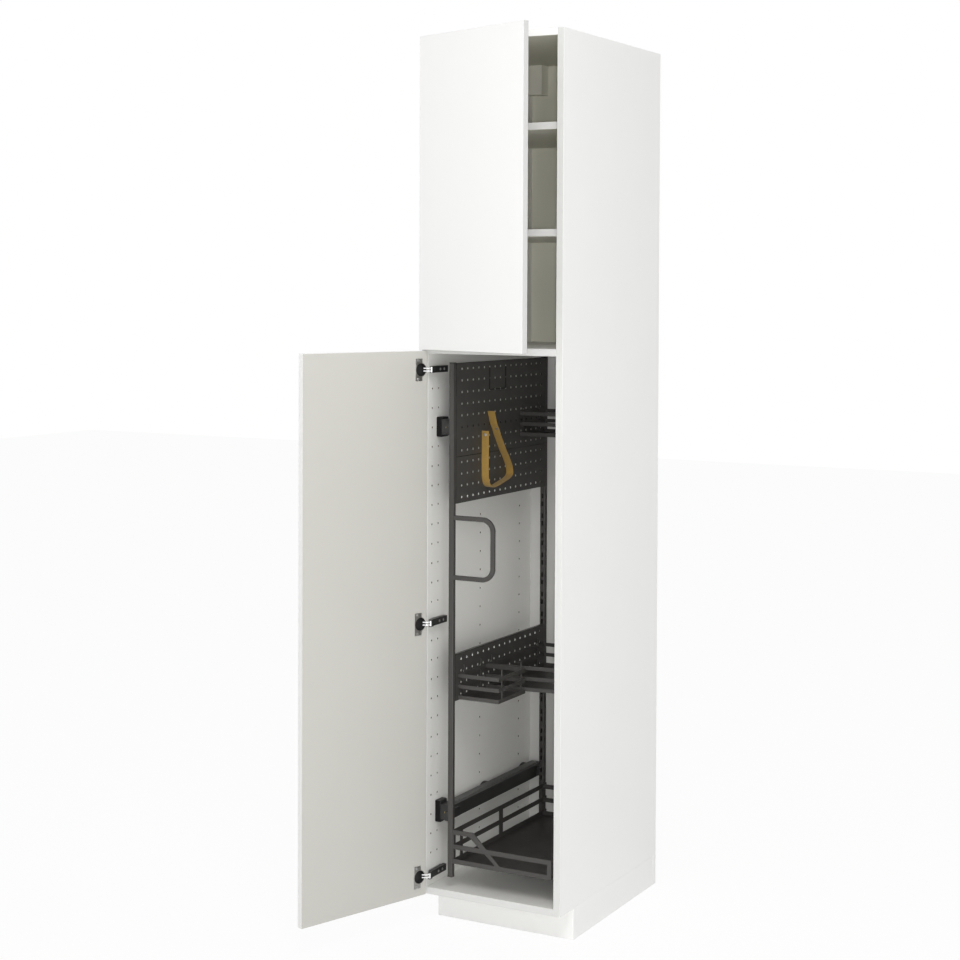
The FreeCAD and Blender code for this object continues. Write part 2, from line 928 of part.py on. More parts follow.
# Hinge arms: channels on mounting plates that sit on the side panel's holes.
def hinge_arms(label, rows):
    arms = []
    for index, level in enumerate(rows):
        name = f"{label}_{index}"
        pieces = [
            box(
                name + "_back",
                f"{AXIS_X} + arm_outer - arm_wall",
                "arm_front",
                f"{level} - arm_height / 2",
                "arm_wall",
                "arm_rear - arm_front",
                "arm_height",
            )
        ]
        for side, low in (("low", "- arm_height / 2"), ("high", "+ arm_height / 2 - arm_wall")):
            pieces.append(
                box(
                    f"{name}_cheek_{side}",
                    f"{AXIS_X} + arm_cheek_inner",
                    "arm_front",
                    f"{level} {low}",
                    "arm_outer - arm_cheek_inner",
                    "arm_rear - arm_front",
                    "arm_wall",
                )
            )
            pieces.append(
                box(
                    f"{name}_nose_{side}",
                    f"{AXIS_X} + link_pivot_across - nose_half",
                    f"{AXIS_Y} + link_pivot_back - nose_half",
                    f"{level} {low}",
                    "2 * nose_half",
                    "axis_forward - link_pivot_back + nose_half + arm_front + overrun",
                    "arm_wall",
                )
            )
        pieces.append(
            rod(
                name + "_pin",
                f"{AXIS_X} + link_pivot_across",
                f"{AXIS_Y} + link_pivot_back",
                f"{level} - arm_height / 2",
                "nose_pin_radius",
                "arm_height",
            )
        )
        arms.append(fuse(name, pieces))
    return node(label, group(label, arms))


def hinge_plates(label, rows):
    plates = []
    for index, level in enumerate(rows):
        name = f"{label}_{index}"
        base = box(
            name + "_base",
            INNER_LEFT,
            "plate_front",
            f"{level} - plate_height / 2",
            "plate_base",
            "plate_length",
            "plate_height",
        )
        core = box(
            name + "_core",
            f"{INNER_LEFT} + plate_base / 2",
            "plate_front + flange",
            f"{level} - plate_core_height / 2",
            f"{AXIS_X} - {INNER_LEFT} - plate_base / 2 + arm_outer - arm_wall",
            "plate_length - 2 * flange",
            "plate_core_height",
        )
        plates.append(fuse(name, [base, core]))
    return node(label, group(label, plates))


hinge_arms("lower_hinge_arms", LOWER_ROWS)
hinge_plates("lower_hinge_plates", LOWER_ROWS)
hinge_arms("upper_hinge_arms", UPPER_ROWS)
hinge_plates("upper_hinge_plates", UPPER_ROWS)
arm_screws = [
    rod(
        f"arm_screw_{index}_{step}",
        f"{AXIS_X} + arm_outer",
        f"arm_screw_front + arm_screw_step * {step}",
        level,
        "screw_head_radius",
        "screw_head",
        X_AXIS,
    )
    for index, level in enumerate(LOWER_ROWS + UPPER_ROWS)
    for step in range(2)
]
node("hinge_screws", group("hinge_screws", arm_screws))

# Runners on the left side panel: outer member on plastic brackets, middle and inner member in it.
RUNNER_LEFT = f"({INNER_LEFT} + runner_stand)"
FRAME_RIGHT = f"({INNER_LEFT} + frame_face)"
POST_LEFT = f"({FRAME_RIGHT} - post_width)"
runner_levels = (
    ("top_runner", "top_runner_level", "bracket_height"),
    ("low_runner", "low_runner_level", "low_bracket_height"),
)


def channel(label, left, level, depth, half):
    """A length of channel with its open side towards the pull-out."""
    shell = box(
        label + "_shell", left, "runner_front", f"{level} - ({half})", depth, "runner_length", f"2 * ({half})"
    )
    hollow = box(
        label + "_hollow",
        f"{left} + runner_metal",
        "runner_front - overrun",
        f"{level} - ({half}) + runner_metal",
        depth,
        "runner_length + 2 * overrun",
        f"2 * ({half}) - 2 * runner_metal",
    )
    return cut(label, shell, hollow)


STEP_IN = "(runner_metal + running_gap)"
for label, level, bracket in runner_levels:
    outer_half = "runner_height / 2"
    node(label + "_outer", channel(label + "_outer", RUNNER_LEFT, level, "runner_depth", outer_half))
    middle_half = f"runner_height / 2 - {STEP_IN}"
    middle_left = f"{RUNNER_LEFT} + {STEP_IN}"
    middle_depth = f"runner_depth - {STEP_IN} + runner_step"
    node(label + "_middle", channel(label + "_middle", middle_left, level, middle_depth, middle_half))
    inner_left = f"{RUNNER_LEFT} + 2 * {STEP_IN}"
    inner_half = f"runner_height / 2 - 2 * {STEP_IN}"
    inner_depth = f"runner_depth - 2 * {STEP_IN} + 2 * runner_step"
    beam = box(
        label + "_inner_beam",
        inner_left,
        "runner_front",
        f"{level} - ({inner_half})",
        inner_depth,
        "runner_length",
        f"2 * ({inner_half})",
    )
    recess = box(
        label + "_inner_recess",
        f"{inner_left} - overrun",
        "runner_front + runner_metal",
        f"{level} - ({inner_half}) + runner_metal",
        f"{inner_depth} - runner_metal + overrun",
        "runner_length - 2 * runner_metal",
        f"2 * ({inner_half}) - 2 * runner_metal",
    )
    node(label + "_inner", cut(label + "_inner", beam, recess))
    strip = box(
        label + "_bracket_strip",
        INNER_LEFT,
        "runner_front",
        f"{level} - {bracket} / 2",
        "runner_stand",
        "bracket_length",
        bracket,
    )
    node(label + "_bracket", strip)

# Half-round clips that hold the outer members behind the brackets.
runner_clips = []
for label, level, bracket in runner_levels:
    for end, depth_place in (("near", "clip_near_place"), ("far", "clip_far_place")):
        disc = rod(
            f"{label}_clip_disc_{end}",
            INNER_LEFT,
            depth_place,
            f"{level} + clip_rise - clip_radius",
            "clip_radius",
            "runner_stand",
            X_AXIS,
        )
        below = box(
            f"{label}_clip_below_{end}",
            f"{INNER_LEFT} - overrun",
            f"{depth_place} - clip_radius - overrun",
            f"{level} + clip_rise - 2 * clip_radius - overrun",
            "runner_stand + 2 * overrun",
            "2 * (clip_radius + overrun)",
            "clip_radius + overrun",
        )
        runner_clips.append(cut(f"{label}_clip_{end}", disc, below))
node("runner_clips", group("runner_clips", runner_clips))

# Carriers and screws fix the posts to the inner members.
INNER_FACE = f"({RUNNER_LEFT} + runner_depth + 2 * runner_step)"
carriers = []
runner_screws = []
for label, level, bracket in runner_levels:
    carrier_ends = (
        ("front", "post_front", "runner_front - post_front + bracket_length"),
        ("rear", "rear_post_front", "rear_post_depth"),
    )
    for end, depth_place, length in carrier_ends:
        carriers.append(
            box(
                f"{label}_carrier_{end}",
                INNER_FACE,
                depth_place,
                f"{level} - carrier_height / 2",
                f"{POST_LEFT} - {INNER_FACE}",
                length,
                "carrier_height",
            )
        )
    runner_screws.append(
        rod(
            f"{label}_screw",
            f"{RUNNER_LEFT} + runner_depth / 2 + runner_step",
            "runner_front - flange",
            level,
            "bracket_screw_radius",
            "flange",
            Y_AXIS,
        )
    )
node("runner_carriers", group("runner_carriers", carriers))
node("runner_screws", group("runner_screws", runner_screws))


# Posts of the pull-out frame: square tubes with plastic caps.
def post_tube(label, front, depth):
    tube = box(label + "_tube", POST_LEFT, front, "post_low", "post_width", depth, "post_top - post_low")
    core = box(
        label + "_core",
        f"{POST_LEFT} + post_wall",
        f"{front} + post_wall",
        "post_low - overrun",
        "post_width - 2 * post_wall",
        f"{depth} - 2 * post_wall",
        "post_top - post_low + 2 * overrun",
    )
    return cut(label + "_hollowed", tube, core)


node("front_post", post_tube("front_post", "post_front", "post_depth"))
rear_tube = post_tube("rear_post", "rear_post_front", "rear_post_depth")
post_slots = []
for pair in range(int(size.slot_pair_count)):
    for half in range(2):
        post_slots.append(
            box(
                f"post_slot_{pair}_{half}",
                f"{POST_LEFT} + (post_width - slot_width) / 2",
                "rear_post_front - overrun",
                f"post_low + slot_first + slot_pitch * {pair} + slot_pair * {half}",
                "slot_width",
                "post_wall + 2 * overrun",
                "slot_height",
            )
        )
node("rear_post", cut("rear_post_slotted", rear_tube, fuse("post_slots", post_slots)))
post_caps = []
for post, front, depth in (
    ("front", "post_front", "post_depth"),
    ("rear", "rear_post_front", "rear_post_depth"),
):
    for end, level in (("low", "post_low - post_cap"), ("high", "post_top")):
        post_caps.append(
            box(f"{post}_{end}_cap", POST_LEFT, front, level, "post_width", depth, "post_cap")
        )
node("post_caps", group("post_caps", post_caps))


# Perforated sheets between the posts, folded back along their long edges.
SHEET_FRONT = "(post_front + post_depth)"
SHEET_LENGTH = "(rear_post_front - post_front - post_depth)"
HOOK_SLOT = "(hook_height + hook_lift + hook_gap)"
sheet_start = size.post_front + size.post_depth + size.sheet_margin
sheet_stop = size.cabinet_depth - size.pull_out_back_gap - size.sheet_edge
SHEET_COLUMN_COUNT = math.floor((sheet_stop - sheet_start) / size.sheet_pitch) + 1


def hook_place(column):
    return f"({SHEET_FRONT} + sheet_margin + sheet_pitch * ({column} - 1) + sheet_pitch / 2)"


def perforated(label, top, rows, hook_columns=(), hook_level="0 * board"):
    body = doc.addObject("PartDesign::Body", label)
    height = f"({rows} * sheet_pitch - sheet_seam)"
    outline = new_sketch(body, label + "_outline", "YZ_Plane")
    draw_rectangle(
        outline,
        f"{SHEET_FRONT} + sheet_side_gap - cabinet_depth",
        f"{top} - {height}",
        f"{SHEET_LENGTH} - 2 * sheet_side_gap",
        height,
    )
    pad = body.newObject("PartDesign::Pad", label + "_pad")
    pad.Profile = outline
    bind(pad, Length="sheet")
    for edge, low in (("top", f"{top} - sheet"), ("bottom", f"{top} - {height}")):
        fold = new_sketch(body, f"{label}_{edge}_fold_outline", "YZ_Plane")
        draw_rectangle(
            fold,
            f"{SHEET_FRONT} + sheet_side_gap - cabinet_depth",
            low,
            f"{SHEET_LENGTH} - 2 * sheet_side_gap",
            "sheet",
        )
        leg = body.newObject("PartDesign::Pad", f"{label}_{edge}_fold")
        leg.Profile = fold
        leg.Reversed = True
        bind(leg, Length="sheet_return")
    row = new_sketch(body, label + "_hole_row", "YZ_Plane")
    for column in range(SHEET_COLUMN_COUNT):
        draw_circle(
            row,
            f"{SHEET_FRONT} + sheet_margin + sheet_pitch * {column} - cabinet_depth",
            f"{top} - sheet_pitch * {rows} + sheet_pitch / 2",
            "sheet_hole_radius",
        )
    first = pocket(body, label + "_holes", row, "sheet + overrun", True)
    pattern_up(body, label + "_hole_rows", first, rows, "sheet_pitch")
    if hook_columns:
        slots = new_sketch(body, label + "_hook_slots_outline", "YZ_Plane")
        for column in hook_columns:
            draw_rectangle(
                slots,
                f"{hook_place(column)} - hook_slot_width / 2 - cabinet_depth",
                hook_level,
                "hook_slot_width",
                HOOK_SLOT,
            )
        body.Tip = pocket(body, label + "_hook_slots", slots, "sheet + overrun", True)
    bind(body, Placement__Base__x=f"{FRAME_RIGHT} - sheet")
    return node(label, body)


perforated(
    "upper_sheet",
    "post_top",
    "top_sheet_rows",
    ("top_basket_near_hook", "top_basket_far_hook"),
    "hook_top_place",
)
perforated("lower_sheet", "post_top - sheet_pitch * top_sheet_rows", "low_sheet_rows")
perforated(
    "middle_sheet",
    "strip_top",
    "strip_rows",
    (
        "front_basket_near_hook",
        "front_basket_far_hook",
        "rear_basket_near_hook",
        "rear_basket_far_hook",
    ),
    "hook_low_place",
)


# Pull handle: a flat bar bent to a D, standing off the front post.
def dee(name, inset):
    right = f"({FRAME_RIGHT} + handle_reach - {inset})"
    low = f"(handle_low + {inset})"
    high = f"(handle_low + handle_height - {inset})"
    turn = f"(handle_round - {inset})"
    deep = "handle_thick + 2 * overrun" if inset != "0 * board" else "handle_thick"
    front = "post_front - overrun" if inset != "0 * board" else "post_front"
    left = f"{FRAME_RIGHT} - overrun" if inset != "0 * board" else FRAME_RIGHT
    pieces = [
        box(name + "_flat", left, front, low, f"{right} - ({left}) - {turn}", deep, f"{high} - {low}"),
        box(
            name + "_tall",
            left,
            front,
            f"{low} + {turn}",
            f"{right} - ({left})",
            deep,
            f"{high} - {low} - 2 * {turn}",
        ),
    ]
    for end, level in (("low", f"{low} + {turn}"), ("high", f"{high} - {turn}")):
        pieces.append(rod(f"{name}_{end}_turn", f"{right} - {turn}", front, level, turn, deep, Y_AXIS))
    return fuse(name, pieces)


node("pull_handle", cut("pull_handle", dee("handle_outer", "0 * board"), dee("handle_inner", "handle_bar")))


# Baskets: rings of flat bar on upright posts around a tray plate.
def prism(name, front, level, width, depth, slant, inset, height, base="basket_metal"):
    """A block on the pull-out's face whose front side runs back by the slant."""
    item = doc.addObject("Part::Wedge", name)
    item.Placement = FreeCAD.Placement(FreeCAD.Vector(), FreeCAD.Rotation(BACKWARD_TURN, QUARTER_TURN))
    skew = f"{slant} / {width}"
    thick = f"{inset} * (1 + sqrt(1 + pow({skew}; 2)))"
    bind(
        item,
        Xmin="0 * board",
        X2min="0 * board",
        Ymin="0 * board",
        Zmin="0 * board",
        Z2min="0 * board",
        Ymax=f"{width} - 2 * {inset}",
        Xmax=f"{depth} - {thick} - {skew} * {inset}",
        X2max=f"{depth} - {thick} - {skew} * ({width} - {inset})",
        Zmax=height,
        Z2max=height,
    )
    return place(item, f"{FRAME_RIGHT} + hook_gap + {inset}", f"{front} + {depth} - {inset}", level)


NO_SLANT = "(0 * board)"


def small_basket(label, front, base, width, depth, slant, hook_columns, hook_level):
    pieces = []
    for step in range(3):
        level = f"{base} + basket_step * {step}"
        outer = prism(
            f"{label}_ring_{step}_outer", front, level, width, depth, slant, NO_SLANT, "small_basket_bar"
        )
        inner = prism(
            f"{label}_ring_{step}_inner",
            front,
            f"{level} - overrun",
            width,
            depth,
            slant,
            "basket_metal",
            "small_basket_bar + 2 * overrun",
        )
        pieces.append(cut(f"{label}_ring_{step}", outer, inner))
    tall = "2 * basket_step + small_basket_bar + basket_stub"
    right = f"{FRAME_RIGHT} + hook_gap + {width} - basket_metal"
    right_posts = (f"{front} + {slant} + basket_stub", f"{front} + {depth} - basket_stub - basket_post")
    for index, depth_place in enumerate(right_posts):
        pieces.append(
            box(f"{label}_post_{index}", right, depth_place, base, "basket_metal", "basket_post", tall)
        )
    for index, column in enumerate(hook_columns):
        middle = hook_place(column)
        pieces.append(
            box(
                f"{label}_back_post_{index}",
                f"{FRAME_RIGHT} + hook_gap",
                f"{middle} - basket_post / 2",
                base,
                "basket_metal",
                "basket_post",
                tall,
            )
        )
        pieces.append(
            box(
                f"{label}_hook_{index}",
                f"{FRAME_RIGHT} - sheet - hook_gap - hook_metal",
                f"{middle} - hook_width / 2",
                hook_level,
                "hook_metal + sheet + 2 * hook_gap + basket_metal",
                "hook_width",
                "hook_height",
            )
        )
        pieces.append(
            box(
                f"{label}_hook_tip_{index}",
                f"{FRAME_RIGHT} - sheet - hook_gap - hook_metal",
                f"{middle} - hook_width / 2",
                f"{hook_level} - hook_drop",
                "hook_metal",
                "hook_width",
                "hook_drop + hook_height",
            )
        )
    node(label + "_frame", fuse(label + "_frame", pieces))
    tray = prism(f"{label}_tray", front, base, width, depth, slant, "basket_metal", "basket_tray")
    return node(label + "_tray", tray)


small_basket(
    "front_basket",
    "front_basket_place",
    "basket_base",
    "small_basket_width",
    "small_basket_depth",
    NO_SLANT,
    ("front_basket_near_hook", "front_basket_far_hook"),
    "hook_low_place",
)
small_basket(
    "rear_basket",
    "rear_basket_place",
    "basket_base",
    "rear_basket_width",
    "rear_basket_depth",
    "rear_basket_slant",
    ("rear_basket_near_hook", "rear_basket_far_hook"),
    "hook_low_place",
)
small_basket(
    "top_basket",
    f"{hook_place('top_basket_near_hook')} - top_basket_forward",
    "top_basket_base",
    "small_basket_width",
    "small_basket_depth",
    NO_SLANT,
    ("top_basket_near_hook", "top_basket_far_hook"),
    "hook_top_place",
)

# Bottom basket: wider, bolted to both posts, with a brace that falls from its front corner.
floor_pieces = []


def floor_bar(name, across, depth_place, level, along_x, along_y, along_z="basket_bar"):
    left = f"{FRAME_RIGHT} + {across}"
    front = f"floor_basket_front + {depth_place}"
    floor_pieces.append(box(name, left, front, level, along_x, along_y, along_z))


FLOOR_RIGHT = "floor_basket_width - basket_metal"
FLOOR_BACK = "floor_basket_depth - basket_metal"
for step in range(3):
    level = f"floor_basket_base + floor_basket_step * {step}"
    floor_bar(
        f"floor_left_{step}",
        "0 * board",
        "0 * board",
        level,
        "basket_metal",
        "rear_post_front + rear_post_depth - floor_basket_front",
    )
    floor_bar(f"floor_back_{step}", "0 * board", FLOOR_BACK, level, "floor_basket_width", "basket_metal")
    if step < 2:
        floor_bar(
            f"floor_front_{step}", "0 * board", "0 * board", level, "floor_basket_width", "basket_metal"
        )
        floor_bar(
            f"floor_right_{step}", FLOOR_RIGHT, "0 * board", level, "basket_metal", "floor_basket_depth"
        )
TOP_BAR = "(floor_basket_base + floor_basket_step * 2)"
floor_bar("floor_front_top", "0 * board", "0 * board", TOP_BAR, "brace_flat", "basket_metal")
uprights = (
    ("near_left", "0 * board", "0 * board", "basket_metal", "basket_bar"),
    ("post_left", "0 * board", "floor_front_upright", "basket_metal", "basket_bar"),
    ("middle_left", "0 * board", "floor_middle_upright", "basket_metal", "floor_upright"),
    ("far_left", "0 * board", "floor_basket_depth - basket_bar", "basket_metal", "basket_bar"),
    ("far_right", "floor_basket_width - basket_bar", FLOOR_BACK, "basket_bar", "basket_metal"),
)
for name, across, depth_place, along_x, along_y in uprights:
    floor_bar(
        "floor_upright_" + name,
        across,
        depth_place,
        "floor_basket_base",
        along_x,
        along_y,
        "2 * floor_basket_step + basket_bar",
    )
for name, depth_place in (("front", "0 * board"), ("back", "floor_basket_depth - basket_bar")):
    floor_bar(
        f"floor_corner_{name}",
        FLOOR_RIGHT,
        depth_place,
        "floor_basket_base",
        "basket_metal",
        "basket_bar",
        "floor_basket_step + basket_bar",
    )
floor_bar(
    "floor_corner_face",
    "floor_basket_width - basket_bar",
    "0 * board",
    "floor_basket_base",
    "basket_bar",
    "basket_metal",
    "floor_basket_step + basket_bar",
)
brace_low = size.floor_basket_base + size.basket_bar / 2
brace_high = size.floor_basket_base + 2 * size.floor_basket_step
brace_start = size.cabinet_width / -2 + size.board + size.frame_face + size.brace_flat
brace_points = (
    (brace_start - size.basket_bar, brace_high),
    (brace_start - size.basket_bar, brace_high + size.basket_bar),
    (brace_start, brace_high + size.basket_bar),
    (brace_start + size.brace_run + size.basket_bar, brace_low),
    (brace_start + size.brace_run, brace_low),
)
corners = [FreeCAD.Vector(x, size.floor_basket_front, z) for x, z in brace_points]
brace = Part.Face(Part.makePolygon([*corners, corners[0]])).extrude(Y_AXIS * size.basket_metal)
floor_pieces.append(solid("floor_brace", brace))
node("floor_basket_frame", fuse("floor_basket_frame", floor_pieces))
node(
    "floor_basket_tray",
    box(
        "floor_basket_tray",
        f"{FRAME_RIGHT} + basket_metal",
        "floor_basket_front + basket_metal",
        "floor_basket_base",
        "floor_basket_width - 2 * basket_metal",
        "floor_basket_depth - 2 * basket_metal",
        "basket_tray",
    ),
)

# Strap: a band that stands on the sheets with one edge and loops down, round and back up to its
# button. Each pair gives the shares of its reach backwards and of its height.
STRAP_PATH = (
    (0.0, 0.75),
    (0.0, 0.22),
    (0.02, 0.11),
    (0.08, 0.04),
    (0.195, 0.003),
    (0.35, 0.008),
    (0.535, 0.03),
    (0.725, 0.058),
    (0.895, 0.086),
    (0.985, 0.125),
    (1.0, 0.163),
    (0.965, 0.243),
    (0.843, 0.36),
    (0.7, 0.476),
    (0.49, 0.672),
    (0.41, 0.76),
    (0.32, 0.85),
    (0.226, 1.0),
)
board_face = size.cabinet_width / -2 + size.board + size.frame_face
strap_foot = size.plinth_height + size.divider_height - size.pull_out_top_gap - size.strap_drop
path = [
    FreeCAD.Vector(
        board_face,
        size.strap_place + size.strap_reach * back,
        strap_foot + size.strap_height * up,
    )
    for back, up in STRAP_PATH
]
outer_side = []
inner_side = []
for index, point in enumerate(path):
    before = path[max(index - 1, 0)]
    after = path[min(index + 1, len(path) - 1)]
    normal = X_AXIS.cross(after - before).normalize() * (size.strap_thick / 2)
    outer_side.append(point + normal)
    inner_side.append(point - normal)
outline = [*outer_side, *reversed(inner_side)]
band_face = Part.Face(Part.makePolygon([*outline, outline[0]]))
node("strap", solid("strap", band_face.extrude(X_AXIS * size.strap_width)))
node(
    "strap_studs",
    rod(
        "strap_stud",
        f"{FRAME_RIGHT} + strap_width / 2",
        "strap_place - strap_thick / 2 - stud_head",
        "strap_level + strap_height * stud_share",
        "stud_radius",
        "stud_head",
        Y_AXIS,
    ),
)

# Wire hanger: a thin U of wire lying on the upper sheet.
wire_legs = [
    rod(
        f"wire_leg_{side}",
        f"{FRAME_RIGHT} + wire_radius",
        depth_place,
        "wire_top - wire_drop",
        "wire_radius",
        "wire_drop",
    )
    for side, depth_place in (("left", "wire_left"), ("right", "wire_left + wire_span"))
]
wire_foot = rod(
    "wire_foot",
    f"{FRAME_RIGHT} + wire_radius",
    "wire_left",
    "wire_top - wire_drop",
    "wire_radius",
    "wire_span",
    Y_AXIS,
)
node("wire_hanger", fuse("wire_hanger", [*wire_legs, wire_foot]))

doc.recompute()
os.makedirs("parts", exist_ok=True)
for item in doc.Objects:
    faults = [state for state in item.State if state in ("Invalid", "Error")]
    if faults:
        raise RuntimeError(f"{item.Name}: {faults}")
for item in nodes:
    shape = item.Shape
    if shape.isNull() or not shape.isValid() or not shape.Solids:
        raise RuntimeError(f"{item.Label} has no valid solid")
    shape.exportStep(f"parts/{item.Label}.step")
    print(item.Label, len(shape.Solids), round(shape.Volume), [round(v, 1) for v in (
        shape.BoundBox.XMin, shape.BoundBox.XMax, shape.BoundBox.YMin,
        shape.BoundBox.YMax, shape.BoundBox.ZMin, shape.BoundBox.ZMax)])
print(len(nodes), "sub-parts")
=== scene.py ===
import json
import math

import bmesh
import bpy
import numpy as np
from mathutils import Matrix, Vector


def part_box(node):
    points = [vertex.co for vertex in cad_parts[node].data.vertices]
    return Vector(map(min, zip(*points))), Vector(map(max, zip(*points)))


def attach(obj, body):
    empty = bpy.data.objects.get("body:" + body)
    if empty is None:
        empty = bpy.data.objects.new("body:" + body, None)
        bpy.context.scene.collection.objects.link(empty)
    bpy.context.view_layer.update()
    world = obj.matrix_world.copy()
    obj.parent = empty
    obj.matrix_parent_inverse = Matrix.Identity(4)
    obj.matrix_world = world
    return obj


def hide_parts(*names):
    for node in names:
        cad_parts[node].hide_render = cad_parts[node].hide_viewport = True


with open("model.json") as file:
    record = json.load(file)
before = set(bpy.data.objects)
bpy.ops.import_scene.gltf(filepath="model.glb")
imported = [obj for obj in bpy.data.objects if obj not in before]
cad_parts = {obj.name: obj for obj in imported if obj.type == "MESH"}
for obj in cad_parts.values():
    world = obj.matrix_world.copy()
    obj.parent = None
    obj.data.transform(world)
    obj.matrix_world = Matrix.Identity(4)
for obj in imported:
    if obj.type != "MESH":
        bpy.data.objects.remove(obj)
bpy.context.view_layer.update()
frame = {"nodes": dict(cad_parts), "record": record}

RECORD = frame["record"]
BODY_OF = {node: body for body, nodes in RECORD["behaviour"]["bodies"].items() for node in nodes}

# Side panels: 18 mm chipboard faced with white melamine paper, edges banded, drilled on the inner
# face with blind rows of 5 mm holes. They reach from the plinth to the top and carry the other boards.
CARCASS_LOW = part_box("side_panel_left")[0]
CARCASS_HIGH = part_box("side_panel_right")[1]
BOARD = 0.018
BOARD_EASE = 0.0008
BORE_CLEAR = 0.0002
END_CLEAR = 0.010
MERGE = 0.000002
FLAT = math.radians(0.5)
SHARP = math.radians(32)
FACING = 0.9
LONG_EDGE = 0.009
NOISE_RANGE = (0.3, 0.7)


def grain_nodes():
    """One group for every finish: a broad noise for colour and gloss, a fine one for relief."""
    group = bpy.data.node_groups.new("surface_grain", "ShaderNodeTree")
    face = group.interface
    for name in ("Broad", "Fine"):
        face.new_socket(name, in_out="INPUT", socket_type="NodeSocketFloat")
    for name in ("Mottle", "Relief"):
        face.new_socket(name, in_out="OUTPUT", socket_type="NodeSocketFloat")
    nodes, links = group.nodes, group.links
    entry = nodes.new("NodeGroupInput")
    leave = nodes.new("NodeGroupOutput")
    place = nodes.new("ShaderNodeTexCoord")
    for name, scale, detail in (("Mottle", "Broad", 4.0), ("Relief", "Fine", 2.0)):
        noise = nodes.new("ShaderNodeTexNoise")
        noise.inputs["Detail"].default_value = detail
        links.new(place.outputs["Object"], noise.inputs["Vector"])
        links.new(entry.outputs[scale], noise.inputs["Scale"])
        links.new(noise.outputs["Fac"], leave.inputs[name])
    return group


SURFACE_GRAIN = grain_nodes()


def finish(name, light, dark, rough, relief=0.0, broad=8.0, fine=900.0, **shader):
    """A finish whose colour and gloss wander between two values and whose face has a fine relief."""
    material = bpy.data.materials.new(name)
    material.use_nodes = True
    nodes, links = material.node_tree.nodes, material.node_tree.links
    skin = nodes["Principled BSDF"]
    for socket, value in shader.items():
        skin.inputs[socket.replace("_", " ").title().replace("Ior", "IOR")].default_value = value
    grain = nodes.new("ShaderNodeGroup")
    grain.node_tree = SURFACE_GRAIN
    grain.inputs["Broad"].default_value = broad
    grain.inputs["Fine"].default_value = fine
    tone = nodes.new("ShaderNodeMix")
    tone.data_type = "RGBA"
    tone.inputs["A"].default_value = (*dark, 1)
    tone.inputs["B"].default_value = (*light, 1)
    links.new(grain.outputs["Mottle"], tone.inputs["Factor"])
    links.new(tone.outputs["Result"], skin.inputs["Base Color"])
    gloss = nodes.new("ShaderNodeMapRange")
    gloss.inputs["From Min"].default_value = NOISE_RANGE[0]
    gloss.inputs["From Max"].default_value = NOISE_RANGE[1]
    gloss.inputs["To Min"].default_value = rough[0]
    gloss.inputs["To Max"].default_value = rough[1]
    links.new(grain.outputs["Mottle"], gloss.inputs["Value"])
    links.new(gloss.outputs["Result"], skin.inputs["Roughness"])
    if relief:
        bump = nodes.new("ShaderNodeBump")
        bump.inputs["Strength"].default_value = 1.0
        bump.inputs["Distance"].default_value = relief
        links.new(grain.outputs["Relief"], bump.inputs["Height"])
        links.new(bump.outputs["Normal"], skin.inputs["Normal"])
    return material


def eased(node, finishes, ease, pick=None, segments=2, shortest=LONG_EDGE, rim=-1):
    """A CAD node's own shape with its doubles merged and its long sharp edges rounded by ease.
    pick turns a face's centre and normal into its finish's place in the tuple, and rim is the place
    of the rounded edges' finish."""
    shape = bmesh.new()
    shape.from_mesh(frame["nodes"][node].data)
    bmesh.ops.remove_doubles(shape, verts=shape.verts, dist=MERGE)
    shape.normal_update()
    for face in shape.faces:
        face.smooth = False
        face.material_index = pick(face.calc_center_median(), face.normal) if pick else 0
    bmesh.ops.dissolve_limit(
        shape, angle_limit=FLAT, verts=shape.verts, edges=shape.edges, delimit={"MATERIAL"}
    )
    shape.normal_update()
    weight = shape.edges.layers.float.new("bevel_weight_edge")
    for edge in shape.edges:
        turn = edge.calc_face_angle(0.0) if len(edge.link_faces) == 2 else 0.0
        edge[weight] = float(turn > SHARP and edge.calc_length() > shortest)
        for face in edge.link_faces:
            face.smooth = face.smooth or FLAT < turn < SHARP
    mesh = bpy.data.meshes.new(node + "_piece")
    shape.to_mesh(mesh)
    shape.free()
    if mesh.has_custom_normals:
        mesh.attributes.remove(mesh.attributes["custom_normal"])
    mesh.set_sharp_from_angle(angle=SHARP)
    piece = bpy.data.objects.new(node + "_piece", mesh)
    bpy.context.scene.collection.objects.link(piece)
    for material in finishes:
        mesh.materials.append(material)
    if ease:
        rounding = piece.modifiers.new("eased_edges", "BEVEL")
        rounding.limit_method = "WEIGHT"
        rounding.width = ease
        rounding.segments = segments
        rounding.use_clamp_overlap = False
        rounding.material = rim
    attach(piece, BODY_OF[node])
    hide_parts(node)
    return piece


WHITE_BOARD = finish(
    "white_melamine", (0.90, 0.90, 0.885), (0.87, 0.87, 0.855), (0.36, 0.44),
    relief=0.00002, broad=5.0, fine=1400.0,
)
# White melamine painted in shade, darker and warmer, for the inner faces of the carcass.
SHADED_INSIDE_BOARD = finish(
    "melamine_painted_inside_shade", (0.86, 0.855, 0.82), (0.83, 0.825, 0.79), (0.38, 0.46),
    relief=0.00002, broad=5.0, fine=1400.0,
)
# White edge band painted in shade, for the front edges that stand back in shade.
SHADED_EDGE_BAND = finish(
    "edge_band_painted_shade", (0.69, 0.69, 0.675), (0.66, 0.66, 0.645), (0.32, 0.42),
    relief=0.00001, broad=6.0, fine=1300.0,
)
CHIPBOARD = finish(
    "bored_chipboard", (0.22, 0.16, 0.10), (0.05, 0.036, 0.024), (0.8, 0.95),
    relief=0.0004, broad=900.0, fine=700.0,
)


